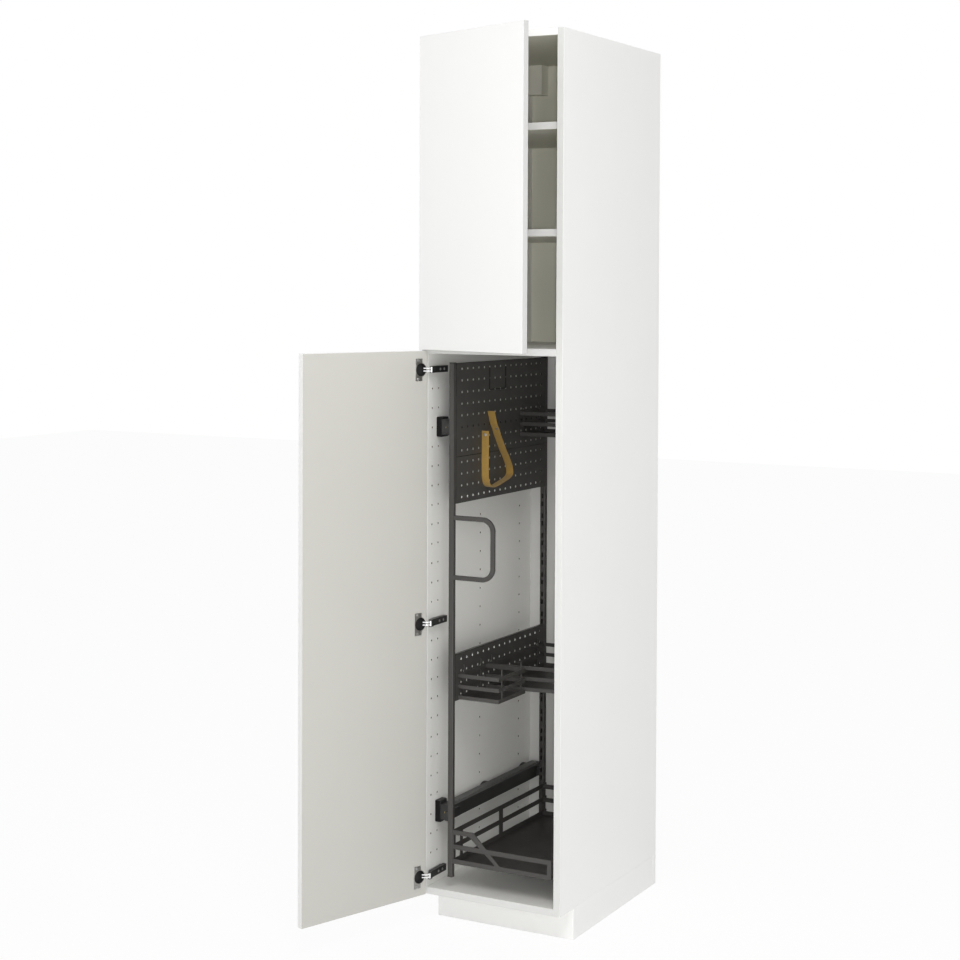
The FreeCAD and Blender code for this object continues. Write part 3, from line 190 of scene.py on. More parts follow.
def bored(sign):
    """The inner face of a side panel is white melamine painted in shade, its front the edge band, also
    painted in shade, the walls of its bores and of its groove are raw board, and the rest is white."""
    inner = sign * (CARCASS_HIGH.x - BOARD)
    outer = sign * CARCASS_HIGH.x

    def pick(centre, normal):
        if abs(centre.x - inner) < BORE_CLEAR:
            return 1
        between_edges = CARCASS_LOW.y + BORE_CLEAR < centre.y < -BORE_CLEAR
        if normal.y < -FACING and not between_edges:
            return 3
        between_ends = CARCASS_LOW.z + END_CLEAR < centre.z < CARCASS_HIGH.z - END_CLEAR
        end_face = abs(normal.z) > FACING and not between_ends
        return 2 * int(between_edges and not end_face and abs(centre.x - outer) > BORE_CLEAR)

    return pick


SIDE_FINISHES = (WHITE_BOARD, SHADED_INSIDE_BOARD, CHIPBOARD, SHADED_EDGE_BAND)
eased("side_panel_left", SIDE_FINISHES, BOARD_EASE, bored(-1))
eased("side_panel_right", SIDE_FINISHES, BOARD_EASE, bored(1))

# Top, middle and bottom panels: the same board, butted between the sides and held there by hidden
# cams and dowels. The middle one divides the tall bay from the shelves.
def front_banded(centre, normal):
    """Edge band in front and melamine on the rest of a board, both white painted in shade."""
    return int(normal.y > -FACING)


# White melamine painted with the warm shade of the upper bay, for its shelves and the top's underside.
WARM_SHADE_BOARD = finish(
    "melamine_painted_warm_shade", (0.88, 0.865, 0.76), (0.85, 0.835, 0.73), (0.38, 0.46),
    relief=0.00002, broad=5.0, fine=1400.0,
)
eased("top_panel", (WHITE_BOARD, WARM_SHADE_BOARD), BOARD_EASE, lambda centre, normal: int(normal.z < -FACING))
eased("middle_panel", (SHADED_EDGE_BAND, SHADED_INSIDE_BOARD), BOARD_EASE, front_banded)
eased("bottom_panel", (SHADED_EDGE_BAND, SHADED_INSIDE_BOARD), BOARD_EASE, front_banded)

# Back panels: thin fibreboard, lacquered white on the inner face and raw behind, slid into the grooves
# of the sides and meeting behind the middle panel. Their inner faces are painted in shade, grey in the
# lower bay and warm in the upper one.
THIN_BOARD_EASE = 0.0004
SHADED_GREY_BACK = finish(
    "fibreboard_painted_grey_shade", (0.66, 0.655, 0.635), (0.63, 0.625, 0.605), (0.45, 0.55),
    relief=0.00003, broad=6.0, fine=700.0,
)
WARM_SHADE_BACK = finish(
    "fibreboard_painted_warm_shade", (0.85, 0.84, 0.73), (0.82, 0.81, 0.70), (0.45, 0.55),
    relief=0.00003, broad=6.0, fine=700.0,
)
RAW_BACK = finish(
    "raw_fibreboard", (0.40, 0.29, 0.19), (0.27, 0.185, 0.115), (0.75, 0.9),
    relief=0.00015, broad=160.0, fine=900.0,
)
for board, inner_face in (("back_panel_lower", SHADED_GREY_BACK), ("back_panel_upper", WARM_SHADE_BACK)):
    eased(board, (inner_face, RAW_BACK), THIN_BOARD_EASE, lambda centre, normal: int(normal.y > FACING))

# Suspension: a zinc-plated rail screwed to the wall, and two hangers inside the top corners that
# hook over it, each under a white moulded cover.
HANGER_EASE = 0.0005
COVER_EASE = 0.0006
ZINC = finish(
    "zinc_plate", (0.66, 0.66, 0.65), (0.48, 0.48, 0.49), (0.26, 0.42),
    relief=0.00002, broad=90.0, fine=2200.0, metallic=1.0,
)
WHITE_MOULDED = finish(
    "white_moulded", (0.90, 0.885, 0.79), (0.86, 0.845, 0.75), (0.32, 0.42),
    relief=0.00003, broad=14.0, fine=1600.0,
)
eased("wall_rail", (ZINC,), HANGER_EASE)
eased("wall_hangers", (ZINC,), HANGER_EASE)
eased("hanger_covers", (WHITE_MOULDED,), COVER_EASE)

# Shelves: two loose boards in the upper bay, each lying on four zinc-plated pins that stand in the
# rows of holes.
eased("shelf_low", (SHADED_EDGE_BAND, WARM_SHADE_BOARD), BOARD_EASE, front_banded)
eased("shelf_high", (SHADED_EDGE_BAND, WARM_SHADE_BOARD), BOARD_EASE, front_banded)
eased("shelf_pins", (ZINC,), 0)

# Plinth: white boards round three sides, clipped to the legs. Each leg is a black socket screwed
# under the carcass and a foot that turns in it for levelling.
MOULDED_EASE = 0.0008
BLACK_MOULDED = finish(
    "black_moulded", (0.024, 0.024, 0.024), (0.014, 0.014, 0.014), (0.42, 0.56),
    relief=0.00005, broad=30.0, fine=1500.0,
)
for board in ("plinth_front", "plinth_side", "plinth_back"):
    eased(board, (WHITE_BOARD,), BOARD_EASE)
for moulding in ("leg_sockets", "leg_feet", "plinth_clips"):
    eased(moulding, (BLACK_MOULDED,), MOULDED_EASE)

# Doors: 16 mm boards, foiled bright white outside and over the edges, with a melamine face inside
# that carries the bores for the hinge cups. The inside face is painted grey shade, and the free edge of
# the upper door is painted in shade too.
LOWER_DOOR_OPEN = math.radians(109)
UPPER_DOOR_OPEN = math.radians(21)
DOOR_EASE = 0.0010
DOOR_FOIL = finish(
    "white_door_foil", (0.82, 0.82, 0.81), (0.818, 0.818, 0.808), (0.30, 0.34),
    relief=0.00001, broad=3.0, fine=1200.0,
)
# White melamine painted in grey shade, for the inner faces of the doors.
SHADED_DOOR_INSIDE = finish(
    "door_inside_painted_shade", (0.55, 0.541, 0.503), (0.527, 0.518, 0.48), (0.38, 0.46),
    relief=0.00002, broad=5.0, fine=1400.0,
)
# White foil painted in shade, for the free edge of the upper door.
SHADED_DOOR_EDGE = finish(
    "door_edge_painted_shade", (0.60, 0.60, 0.59), (0.57, 0.57, 0.56), (0.30, 0.40),
    relief=0.00001, broad=6.0, fine=1300.0,
)


def door_faces(angle):
    """The inner face of a door that stands open by angle gets the second finish, painted grey shade, and
    its free edge the third, painted shade on the upper door."""
    inward = (math.sin(angle), math.cos(angle))
    free = (math.cos(angle), -math.sin(angle))

    def pick(centre, normal):
        if normal.x * inward[0] + normal.y * inward[1] > FACING:
            return 1
        return 2 * int(normal.x * free[0] + normal.y * free[1] > FACING)

    return pick


eased("lower_door", (DOOR_FOIL, SHADED_DOOR_INSIDE, DOOR_FOIL), DOOR_EASE, door_faces(LOWER_DOOR_OPEN), segments=3)
eased("upper_door", (DOOR_FOIL, SHADED_DOOR_INSIDE, SHADED_DOOR_EDGE), DOOR_EASE, door_faces(UPPER_DOOR_OPEN), segments=3)

# Concealed hinges: a nickel-plated cup pressed into the door, a bright bent link, and an arm under a
# black cover that is screwed to its plate on the side panel.
# Nickel darkened to paint in the dark reflections that the plated cups show.
DARK_REFLECTING_NICKEL = finish(
    "nickel_painted_dark_reflection", (0.40, 0.395, 0.38), (0.30, 0.296, 0.285), (0.28, 0.40),
    relief=0.00001, broad=60.0, fine=1800.0, metallic=1.0,
)
CHROME = finish(
    "bright_chrome", (0.92, 0.92, 0.92), (0.86, 0.86, 0.87), (0.05, 0.10), broad=50.0, metallic=1.0
)
HINGE_BLACK = finish(
    "black_lacquer", (0.030, 0.030, 0.030), (0.020, 0.020, 0.020), (0.28, 0.38),
    relief=0.00001, broad=40.0, fine=1500.0, specular_ior_level=0.3,
)
SCREW_STEEL = finish(
    "screw_steel", (0.50, 0.50, 0.49), (0.36, 0.36, 0.36), (0.26, 0.40), broad=200.0, metallic=1.0
)
HINGE_AXIS = (-0.191, -0.6135)
CUP_PLACE = 0.0145
CUP_HOLLOW = 0.0170
CUP_MOUTH = 0.0115
CUP_SCREW_PLACE = (0.024, 0.0119)
CUP_SCREW_RISE = 0.024
ARM_SCREW_PLACES = ((-0.168, -0.562), (-0.168, -0.542))
CUP_SCREW_SIZE = (0.0036, 0.0019, 0.0006)
ARM_SCREW_SIZE = (0.0034, 0.0012, 0.0006)
HEAD_RINGS = 20
HEAD_TURNS = 56
HEAD_SHARES = (0.985, 0.02)
HEAD_RIM = 0.72
RECESS_HALF_WIDTH = 0.15
RECESS_REACH = 0.62
RECESS_SLOPE = 0.1
HINGE_EASE = 0.0004
ARM_EASE = 0.0005
HINGES = (
    ("lower", LOWER_DOOR_OPEN, (0.1305, 0.7805, 1.4305)),
    ("upper", UPPER_DOOR_OPEN, (1.5305, 2.2305)),
)


def closed_grid(name, stacks, material, node, along=None, across=None):
    """A mesh from stacks of rings of points, each stack closed round its rings and at both ends.
    Its UV map holds metres along the stack and metres round the ring."""
    copies, rows, columns = stacks.shape[:3]
    here = np.arange(copies * rows * columns).reshape(copies, rows, columns)
    after = np.roll(here, -1, axis=2)
    quads = np.stack([here[:, :-1], after[:, :-1], after[:, 1:], here[:, 1:]], -1).reshape(-1, 4)
    faces = quads.tolist() + here[:, 0, ::-1].tolist() + here[:, -1].tolist()
    mesh = bpy.data.meshes.new(name)
    mesh.from_pydata(stacks.reshape(-1, 3).tolist(), [], faces)
    if along is not None:
        chart = mesh.uv_layers.new(name="along_and_round")
        pairs = np.broadcast_arrays(along[None, :, None], across[None, None, :])
        corners = np.tile(np.stack(pairs, -1), (copies, 1, 1, 1)).reshape(-1, 2)
        loops = np.zeros(len(mesh.loops), int)
        mesh.loops.foreach_get("vertex_index", loops)
        chart.data.foreach_set("uv", corners[loops].astype(np.float32).ravel())
    mesh.polygons.foreach_set("use_smooth", np.ones(len(faces), bool))
    mesh.set_sharp_from_angle(angle=SHARP)
    mesh.materials.append(material)
    piece = bpy.data.objects.new(name, mesh)
    bpy.context.scene.collection.objects.link(piece)
    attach(piece, BODY_OF[node])
    return piece


def recessed_heads(name, seats, outward, size, material, node, crossed=True):
    """Heads of a radius, a height and a recess depth. A point at the share r of the radius stands at
    the rim's share of the height plus the rest times the square root of one less r squared, less the
    depth of a cross, or of a slot, with soft sides."""
    radius, height, recess = size
    share = np.concatenate([[1.0, 1.0], np.linspace(*HEAD_SHARES, HEAD_RINGS)])[:, None]
    turn = np.linspace(0, 2 * math.pi, HEAD_TURNS, endpoint=False)[None, :]
    right, up = share * np.cos(turn), share * np.sin(turn)
    rise = height * (HEAD_RIM + (1 - HEAD_RIM) * np.sqrt(1 - share**2)) * np.ones_like(turn)
    rise[0] = 0

    def arm(beside, along):
        inside_width = np.clip((RECESS_HALF_WIDTH - abs(beside)) / RECESS_SLOPE + 0.5, 0, 1)
        return inside_width * np.clip((RECESS_REACH - abs(along)) / RECESS_SLOPE + 0.5, 0, 1)

    rise -= recess * np.maximum(arm(right, up), crossed * arm(up, right)) * (share < 1)
    out = np.array(outward, float)
    side = np.cross((0, 0, 1), out) / math.hypot(out[0], out[1])
    above = np.cross(out, side)
    head = radius * (right[..., None] * side + up[..., None] * above) + rise[..., None] * out
    return closed_grid(name, np.array(seats, float)[:, None, None, :] + head, material, node)


def about_axis(angle, across, back):
    """A place in a door's frame, measured from its hinge axis, in the cabinet's frame."""
    return (
        HINGE_AXIS[0] + across * math.cos(angle) + back * math.sin(angle),
        HINGE_AXIS[1] - across * math.sin(angle) + back * math.cos(angle),
    )


def cup_faces(angle, levels):
    """The hollow of a cup is black."""

    def pick(centre, normal):
        x, y = centre.x - HINGE_AXIS[0], centre.y - HINGE_AXIS[1]
        across = x * math.cos(angle) - y * math.sin(angle)
        back = x * math.sin(angle) + y * math.cos(angle)
        off = min(math.hypot(across - CUP_PLACE, centre.z - level) for level in levels)
        return int(off < CUP_HOLLOW and back < CUP_MOUTH)

    return pick


arm_seats = []
for bay, angle, levels in HINGES:
    eased(bay + "_hinge_cups", (DARK_REFLECTING_NICKEL, HINGE_BLACK), HINGE_EASE, cup_faces(angle, levels))
    eased(bay + "_hinge_links", (CHROME,), HINGE_EASE)
    eased(bay + "_hinge_arms", (HINGE_BLACK,), ARM_EASE)
    eased(bay + "_hinge_plates", (ZINC,), HINGE_EASE)
    seat = about_axis(angle, *CUP_SCREW_PLACE)
    seats = [(*seat, level + rise) for level in levels for rise in (-CUP_SCREW_RISE, CUP_SCREW_RISE)]
    inward = (math.sin(angle), math.cos(angle), 0)
    recessed_heads(bay + "_cup_screws", seats, inward, CUP_SCREW_SIZE, SCREW_STEEL, bay + "_hinge_cups")
    arm_seats += [(*place, level) for level in levels for place in ARM_SCREW_PLACES]
arm_screws = recessed_heads("arm_screws", arm_seats, (1, 0, 0), ARM_SCREW_SIZE, SCREW_STEEL, "hinge_screws")
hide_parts("hinge_screws")

# Runners: three nested black-lacquered steel channels at two levels, with a painted highlight on the
# faces that look out of the outer and middle ones, on plastic brackets and clips at the side panel.
# Plastic carriers and brass screws fix the inner ones to the posts.
RUNNER_LACQUER = finish(
    "runner_lacquer", (0.034, 0.034, 0.033), (0.022, 0.022, 0.021), (0.28, 0.36),
    relief=0.00001, broad=30.0, fine=1500.0,
)
# A lighter copy of the lacquer: painted highlight along the lips.
RUNNER_PAINTED_HIGHLIGHT = finish("runner_painted_highlight", (0.24, 0.24, 0.23), (0.18, 0.18, 0.17), (0.28, 0.36), broad=60.0)
# Near black painted shade for the hollow front of the brackets.
BRACKET_MOUTH_SHADE = finish(
    "bracket_mouth_painted_shade", (0.009, 0.009, 0.009), (0.006, 0.006, 0.006), (0.55, 0.7),
    broad=60.0, specular_ior_level=0.12,
)
BRASS = finish(
    "brass_plate", (0.80, 0.60, 0.26), (0.70, 0.50, 0.19), (0.14, 0.26), broad=120.0, metallic=1.0
)
RUNNER_EASE = 0.0003
BRACKET_EASE = 0.0030
CLIP_EASE = 0.0010
RUNNER_OPEN_SIDE = -0.1435
RUNNER_LEVELS = (1.281, 0.284)
RUNNER_SCREW_PLACE = (-0.150, -0.558)
RUNNER_SCREW_SIZE = (0.0030, 0.0014, 0.0007)


def highlight_faces(centre, normal):
    """The faces that look out of a channel's open side get the painted highlight."""
    return int(normal.x > FACING and centre.x > RUNNER_OPEN_SIDE)


def shaded_mouth_faces(centre, normal):
    """The forward faces of a bracket are painted shade, for its hollow front."""
    return int(normal.y < -FACING)


for level in ("top", "low"):
    eased(f"{level}_runner_outer", (RUNNER_LACQUER, RUNNER_PAINTED_HIGHLIGHT), RUNNER_EASE, highlight_faces)
    eased(f"{level}_runner_middle", (RUNNER_LACQUER, RUNNER_PAINTED_HIGHLIGHT), RUNNER_EASE, highlight_faces)
    eased(f"{level}_runner_inner", (RUNNER_LACQUER, RUNNER_LACQUER), RUNNER_EASE, highlight_faces)
    eased(f"{level}_runner_bracket", (BLACK_MOULDED, BRACKET_MOUTH_SHADE), BRACKET_EASE, shaded_mouth_faces)
eased("runner_clips", (BLACK_MOULDED,), CLIP_EASE)
eased("runner_carriers", (BLACK_MOULDED,), MOULDED_EASE)
runner_screw_seats = [(*RUNNER_SCREW_PLACE, level) for level in RUNNER_LEVELS]
runner_screws = recessed_heads(
    "runner_screw_heads", runner_screw_seats, (0, -1, 0), RUNNER_SCREW_SIZE, BRASS, "runner_screws"
)
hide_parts("runner_screws")

# Posts: two square steel tubes, powder-coated anthracite, the rear one slotted in pairs for hooks,
# closed by plastic caps.
POWDER_COAT = finish(
    "anthracite_powder", (0.056, 0.053, 0.049), (0.042, 0.040, 0.037), (0.42, 0.55),
    relief=0.00005, broad=20.0, fine=1500.0,
)
POST_EASE = 0.0012
CAP_EASE = 0.0006
TUBE_EDGE = 0.03
eased("front_post", (POWDER_COAT,), POST_EASE, segments=3, shortest=TUBE_EDGE)
eased("rear_post", (POWDER_COAT,), POST_EASE, segments=3, shortest=TUBE_EDGE)
eased("post_caps", (BLACK_MOULDED,), CAP_EASE)

# Perforated sheets: 1.5 mm steel with a grid of 6 mm holes and with folded long edges. The walls of
# the holes are painted light, and painted shade where something dark stands behind them, and the
# rounded rims are painted shade. They fill the frame between the posts.
# Hole walls painted light, brightest where they face open wall; the near black is painted shade.
HOLE_WALL_PAINTED_LIGHT = finish("hole_wall_painted_light", (0.52, 0.52, 0.50), (0.30, 0.30, 0.29), (0.35, 0.5), broad=300.0)
HOLE_WALL_BRIGHTEST_LIGHT = finish("hole_wall_brightest_painted_light", (0.93, 0.93, 0.91), (0.88, 0.88, 0.86), (0.30, 0.4), broad=300.0)
SHEET_SHADE = finish(
    "sheet_painted_shade", (0.009, 0.009, 0.008), (0.006, 0.006, 0.006), (0.5, 0.6),
    broad=40.0, specular_ior_level=0.12,
)
SHEET = 0.0015
SHEET_EASE = 0.0007
SHEET_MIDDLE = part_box("upper_sheet")[1].x - SHEET / 2
WALL_CLEAR = 0.0006
IN_PLANE = 0.5
HOLE_REACH = 0.0035
HOLES_END = -0.082
LAST_COLUMN = -0.102
RUNNER_SHADE = 0.020
FIRST_ROW = 0.015
ROW_PITCH = 0.030
ROW_COUNTS = {"upper_sheet": 8, "lower_sheet": 4, "middle_sheet": 4}


def rows_of(sheet):
    """The heights of a sheet's rows of holes, counted down from its top edge."""
    return [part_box(sheet)[1].z - FIRST_ROW - ROW_PITCH * row for row in range(ROW_COUNTS[sheet])]


HOLE_ROWS = [height for sheet in ROW_COUNTS for height in rows_of(sheet)]
BRIGHTEST_LIT_ROWS = [rows_of("lower_sheet")[-1], rows_of("middle_sheet")[0]]


def in_rows(height, rows):
    """Whether a height lies within the holes of one of the rows."""
    return min(abs(height - row) for row in rows) < HOLE_REACH


def hole_wall_paint(centre, normal):
    """The walls of the holes are painted light, for the white wall seen through them, brightest in the rows
    that face open wall, and painted shade where the runner or the rear post stands behind them."""
    in_plate = abs(centre.x - SHEET_MIDDLE) < WALL_CLEAR and centre.y < HOLES_END
    if not in_plate or abs(normal.x) > IN_PLANE or not in_rows(centre.z, HOLE_ROWS):
        return 0
    if centre.y > LAST_COLUMN or abs(centre.z - RUNNER_LEVELS[0]) < RUNNER_SHADE:
        return 2
    return 3 if in_rows(centre.z, BRIGHTEST_LIT_ROWS) else 1


SHEET_FINISHES = (POWDER_COAT, HOLE_WALL_PAINTED_LIGHT, SHEET_SHADE, HOLE_WALL_BRIGHTEST_LIGHT)
for sheet in ROW_COUNTS:
    # The rounded rims take the painted shade, a dark seam between the sheets.
    eased(sheet, SHEET_FINISHES, SHEET_EASE, hole_wall_paint, shortest=TUBE_EDGE, rim=2)

# Pull handle: a flat steel bar bent to a D, powder-coated like the posts. It stands square to the
# frame, across the opening, and is welded to the front post.
eased("pull_handle", (POWDER_COAT,), POST_EASE, segments=3)

# Baskets: flat steel bars welded into open frames, each round a flat tray. Three hang by hooks in the
# sheets and lift out, and the large one stands at the foot of the posts.
BAR_EASE = 0.0004
TRAY_EASE = 0.0003
TRAY_LINING = finish(
    "tray_lining", (0.040, 0.036, 0.034), (0.030, 0.027, 0.025), (0.34, 0.46),
    relief=0.00006, broad=12.0, fine=1100.0,
)
for basket in ("front_basket", "rear_basket", "top_basket", "floor_basket"):
    eased(basket + "_frame", (POWDER_COAT,), BAR_EASE)
    eased(basket + "_tray", (TRAY_LINING,), TRAY_EASE)

# Strap: a 21 mm band of ochre webbing that stands on the sheets with one edge, runs down from its
# button, round and up again. A steel button holds it, and a rivet sits near its other end.
STRAP_WIDTH = 0.021
STRAP_THICK = 0.002
STRAP_ROUND = 0.0006
STRAP_FOOT = (-0.112, -0.4395, 1.116)
STRAP_REACH = (0.138, 0.200)
STRAP_PATH = (
    (0.0, 0.75), (0.0, 0.22), (0.02, 0.11), (0.08, 0.04), (0.195, 0.003), (0.35, 0.008),
    (0.535, 0.03), (0.725, 0.058), (0.895, 0.086), (0.985, 0.125), (1.0, 0.163), (0.965, 0.243),
    (0.843, 0.36), (0.7, 0.476), (0.49, 0.672), (0.41, 0.76), (0.32, 0.85), (0.226, 1.0),
)
STRAP_STEPS = 220
RUN_STEPS = 24
ROUND_STEPS = 5
WEAVE_PITCH = 0.0011
WEAVE_RISE = 0.00012
BUTTON_SEAT = (-0.1015, -0.4405, 1.256)
BUTTON_SIZE = (0.004, 0.002, 0.0014)
RIVET_STEP = 195
RIVET_ACROSS = -0.096
RIVET_SIZE = (0.0036, 0.0016, 0.0012)


def smooth_run(points, count):
    """A curve through the points, evenly spaced. Between two points it is the cubic that leaves each
    one parallel to the line between its neighbours."""
    points = np.array(points, float)
    padded = np.vstack([2 * points[0] - points[1], points, 2 * points[-1] - points[-2]])
    a, b, c, d = padded[:-3], padded[1:-2], padded[2:-1], padded[3:]
    t = np.linspace(0, 1, RUN_STEPS, endpoint=False)[None, :, None]
    a, b, c, d = (part[:, None, :] for part in (a, b, c, d))
    bend = (2 * a - 5 * b + 4 * c - d) * t**2 + (3 * b - a - 3 * c + d) * t**3
    dense = 0.5 * (2 * b + (c - a) * t + bend)
    dense = np.vstack([dense.reshape(-1, points.shape[1]), points[-1:]])
    along = np.concatenate([[0], np.cumsum(np.linalg.norm(np.diff(dense, axis=0), axis=1))])
    spots = np.linspace(0, along[-1], count)
    places = [np.interp(spots, along, dense[:, axis]) for axis in range(points.shape[1])]
    return np.stack(places, 1), spots


def webbing():
    """Woven ochre yarn: two crossed sine waves raise the yarns, and a noise varies their dye."""
    material = finish(
        "ochre_webbing", (0.39, 0.235, 0.044), (0.29, 0.17, 0.028), (0.62, 0.78),
        broad=70.0, sheen_weight=0.2,
    )
    nodes, links = material.node_tree.nodes, material.node_tree.links
    chart = nodes.new("ShaderNodeUVMap")
    chart.uv_map = "along_and_round"
    split = nodes.new("ShaderNodeSeparateXYZ")
    links.new(chart.outputs[0], split.inputs[0])
    waves = []
    for axis in "XY":
        turns = nodes.new("ShaderNodeMath")
        turns.operation = "MULTIPLY"
        turns.inputs[1].default_value = 2 * math.pi / WEAVE_PITCH
        links.new(split.outputs[axis], turns.inputs[0])
        wave = nodes.new("ShaderNodeMath")
        wave.operation = "SINE"
        links.new(turns.outputs[0], wave.inputs[0])
        waves.append(wave)
    crossed = nodes.new("ShaderNodeMath")
    crossed.operation = "MULTIPLY"
    for index, wave in enumerate(waves):
        links.new(wave.outputs[0], crossed.inputs[index])
    bump = nodes.new("ShaderNodeBump")
    bump.inputs["Distance"].default_value = WEAVE_RISE
    links.new(crossed.outputs[0], bump.inputs["Height"])
    links.new(bump.outputs["Normal"], nodes["Principled BSDF"].inputs["Normal"])
    return material


strap_points = np.array(STRAP_FOOT[1:]) + np.array(STRAP_REACH) * STRAP_PATH
strap_line, strap_lengths = smooth_run(strap_points, STRAP_STEPS)
strap_way = np.gradient(strap_line, axis=0)
strap_way /= np.linalg.norm(strap_way, axis=1, keepdims=True)
strap_side = np.stack([-strap_way[:, 1], strap_way[:, 0]], 1)
turn = np.linspace(0, math.pi / 2, ROUND_STEPS)
quarter = np.stack([np.cos(turn), np.sin(turn)], 1) * STRAP_ROUND
wide, thick = STRAP_WIDTH / 2 - STRAP_ROUND, STRAP_THICK / 2 - STRAP_ROUND
strap_profile = np.vstack(
    [
        quarter + (wide, thick),
        quarter[:, ::-1] * (-1, 1) + (-wide, thick),
        -quarter + (-wide, -thick),
        quarter[:, ::-1] * (1, -1) + (wide, -thick),
    ]
)
strap_round = np.concatenate([[0], np.cumsum(np.linalg.norm(np.diff(strap_profile, axis=0), axis=1))])
across_x = STRAP_FOOT[0] + STRAP_WIDTH / 2 + strap_profile[:, 0]
strap_rings = np.concatenate(
    [
        np.broadcast_to(across_x[None, :, None], (len(strap_line), len(strap_profile), 1)),
        strap_line[:, None, :] + strap_profile[None, :, 1, None] * strap_side[:, None, :],
    ],
    axis=-1,
)
strap = closed_grid("strap_band", strap_rings[None], webbing(), "strap", strap_lengths, strap_round)
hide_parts("strap")
button = recessed_heads(
    "strap_button", [BUTTON_SEAT], (0, -1, 0), BUTTON_SIZE, ZINC, "strap_studs", crossed=False
)
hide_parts("strap_studs")
rivet_out = (0, *strap_side[RIVET_STEP])
rivet_seat = (RIVET_ACROSS, *(strap_line[RIVET_STEP] + strap_side[RIVET_STEP] * STRAP_THICK / 2))
recessed_heads("strap_rivet", [rivet_seat], rivet_out, RIVET_SIZE, ZINC, "strap", crossed=False)

# Wire hanger: a U of 2 mm wire dipped in black plastic. It lies flat on the upper sheet, just under
# the sheet's top edge.
DIPPED_WIRE = finish(
    "dipped_wire", (0.010, 0.010, 0.010), (0.007, 0.007, 0.007), (0.45, 0.6),
    broad=60.0, specular_ior_level=0.15,
)
eased("wire_hanger", (DIPPED_WIRE,), 0)

# Floor and backdrop: plain and pale. What the camera sees is mostly white, and the rest of it is the
# lit floor, so the object keeps its shadow.
SEEN_WHITE_SHARE = 0.94
FLOOR_HALF = 12.0
FLOOR_TONE = 0.88
FLOOR_ROUGHNESS = 0.9
WORLD_LIGHT = 0.55


def seen_directly(nodes, links):
    """1 for camera, mirror and see-through rays, 0 for the rest."""
    rays = nodes.new("ShaderNodeLightPath")
    total = rays.outputs["Is Camera Ray"]
    for kind in ("Is Glossy Ray", "Is Transmission Ray"):
        either = nodes.new("ShaderNodeMath")
        either.operation = "MAXIMUM"
        links.new(total, either.inputs[0])
        links.new(rays.outputs[kind], either.inputs[1])
        total = either.outputs[0]
    return total


floor_mesh = bpy.data.meshes.new("floor")
floor_corners = [(x * FLOOR_HALF, y * FLOOR_HALF, 0) for x, y in ((-1, -1), (1, -1), (1, 1), (-1, 1))]
floor_mesh.from_pydata(floor_corners, [], [(0, 1, 2, 3)])
floor = bpy.data.objects.new("floor", floor_mesh)
bpy.context.scene.collection.objects.link(floor)
pale = bpy.data.materials.new("pale_floor")
pale.use_nodes = True
floor_mesh.materials.append(pale)
nodes, links = pale.node_tree.nodes, pale.node_tree.links
nodes["Principled BSDF"].inputs["Base Color"].default_value = (FLOOR_TONE, FLOOR_TONE, FLOOR_TONE, 1)
nodes["Principled BSDF"].inputs["Roughness"].default_value = FLOOR_ROUGHNESS
glow = nodes.new("ShaderNodeEmission")
share = nodes.new("ShaderNodeMath")
share.operation = "MULTIPLY"
share.inputs[1].default_value = SEEN_WHITE_SHARE
links.new(seen_directly(nodes, links), share.inputs[0])
blend = nodes.new("ShaderNodeMixShader")
links.new(share.outputs[0], blend.inputs["Fac"])
links.new(nodes["Principled BSDF"].outputs[0], blend.inputs[1])
links.new(glow.outputs[0], blend.inputs[2])
links.new(blend.outputs[0], nodes["Material Output"].inputs["Surface"])

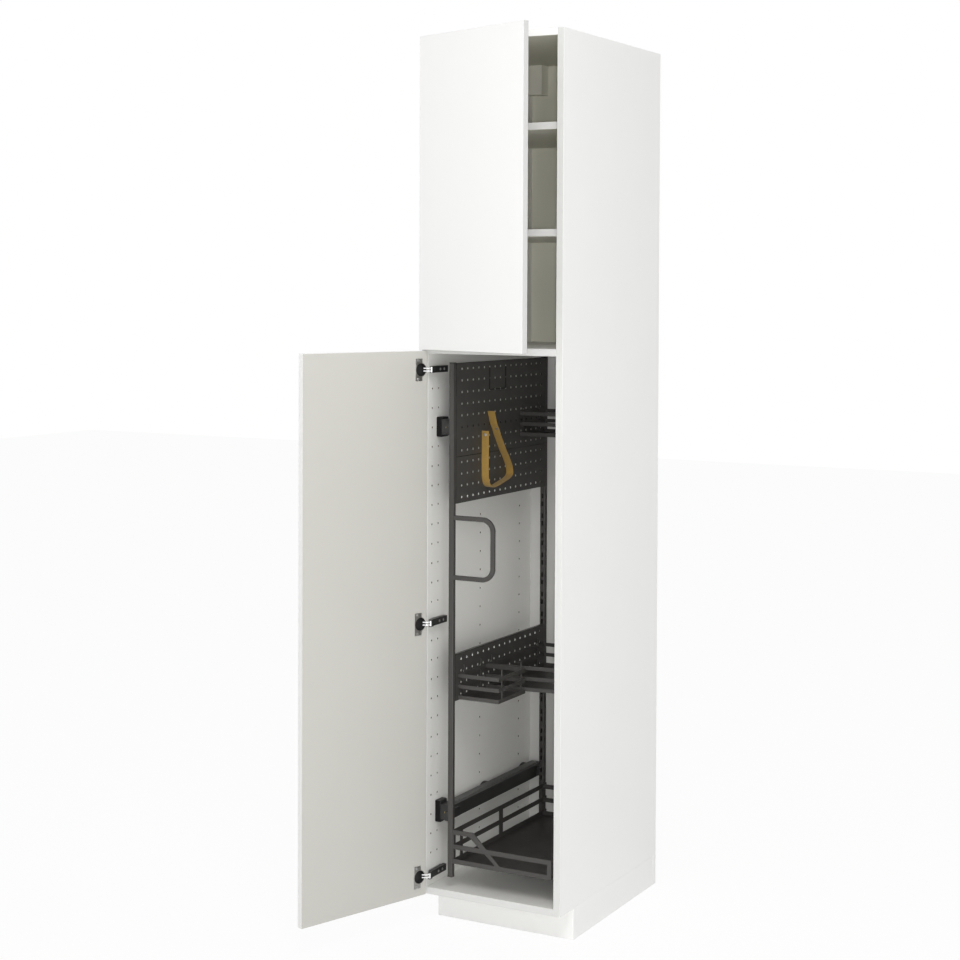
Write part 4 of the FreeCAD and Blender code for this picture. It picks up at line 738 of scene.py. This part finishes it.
world = bpy.data.worlds.new("studio")
bpy.context.scene.world = world
world.use_nodes = True
nodes, links = world.node_tree.nodes, world.node_tree.links
nodes["Background"].inputs["Color"].default_value = (1, 1, 1, 1)
nodes["Background"].inputs["Strength"].default_value = WORLD_LIGHT
backdrop = nodes.new("ShaderNodeBackground")
backdrop.inputs["Color"].default_value = (1, 1, 1, 1)
backdrop.inputs["Strength"].default_value = 1.0
blend = nodes.new("ShaderNodeMixShader")
links.new(seen_directly(nodes, links), blend.inputs["Fac"])
links.new(nodes["Background"].outputs[0], blend.inputs[1])
links.new(backdrop.outputs[0], blend.inputs[2])
links.new(blend.outputs[0], nodes["World Output"].inputs["Surface"])

# Lamps: soft panels high in front, to the right and low in front, a narrow beam from the left on the
# upper door, and a small one at the camera that reaches into the bays. Each has its place, what it
# aims at, its width in metres, its power in watts and its spread in degrees.
LAMPS = (
    ("high_lamp", (1.6, -3.4, 3.9), (0.0, -0.5, 0.6), 1.6, 60.0, 180),
    ("bay_lamp", (3.2, -4.2, 1.1), (0.0, -0.5, 1.1), 1.6, 29.0, 180),
    ("low_lamp", (1.3, -3.2, 0.3), (0.0, -0.4, 2.0), 1.0, 6.0, 180),
    ("door_lamp", (-3.0, -3.6, 2.4), (0.0, -0.7, 2.3), 1.0, 0.75, 36),
    ("near_lamp", (2.235, -4.755, 1.635), (-0.1, -0.5, 1.3), 0.12, 50.0, 180),
)
for name, spot, target, width, power, spread in LAMPS:
    lamp = bpy.data.lights.new(name, "AREA")
    lamp.shape = "SQUARE"
    lamp.size = width
    lamp.energy = power
    lamp.spread = math.radians(spread)
    holder = bpy.data.objects.new(name, lamp)
    bpy.context.scene.collection.objects.link(holder)
    holder.location = spot
    aim = np.array(target) - np.array(spot)
    flat = math.hypot(aim[0], aim[1])
    holder.rotation_euler = (math.atan2(flat, -aim[2]), 0, math.atan2(aim[1], aim[0]) - math.pi / 2)

# Camera: stands where the photograph's camera stood. Its place, turn and lens were worked out from
# the edges of the carcass and the rows of its bores.
CAMERA_PLACE = (2.219098, -4.723914, 1.635222)
CAMERA_TURN = (88.70969, -0.23657, 28.62663)
CAMERA_LENS = 69.963
SENSOR_WIDTH = 36
CAMERA_SHIFT = -0.154601
camera_data = bpy.data.cameras.new("camera")
camera_data.lens = CAMERA_LENS
camera_data.sensor_width = SENSOR_WIDTH
camera_data.shift_y = CAMERA_SHIFT
camera = bpy.data.objects.new("camera", camera_data)
bpy.context.scene.collection.objects.link(camera)
camera.location = CAMERA_PLACE
camera.rotation_euler = tuple(math.radians(angle) for angle in CAMERA_TURN)
bpy.context.scene.camera = camera
bpy.context.scene.view_settings.view_transform = "Standard"
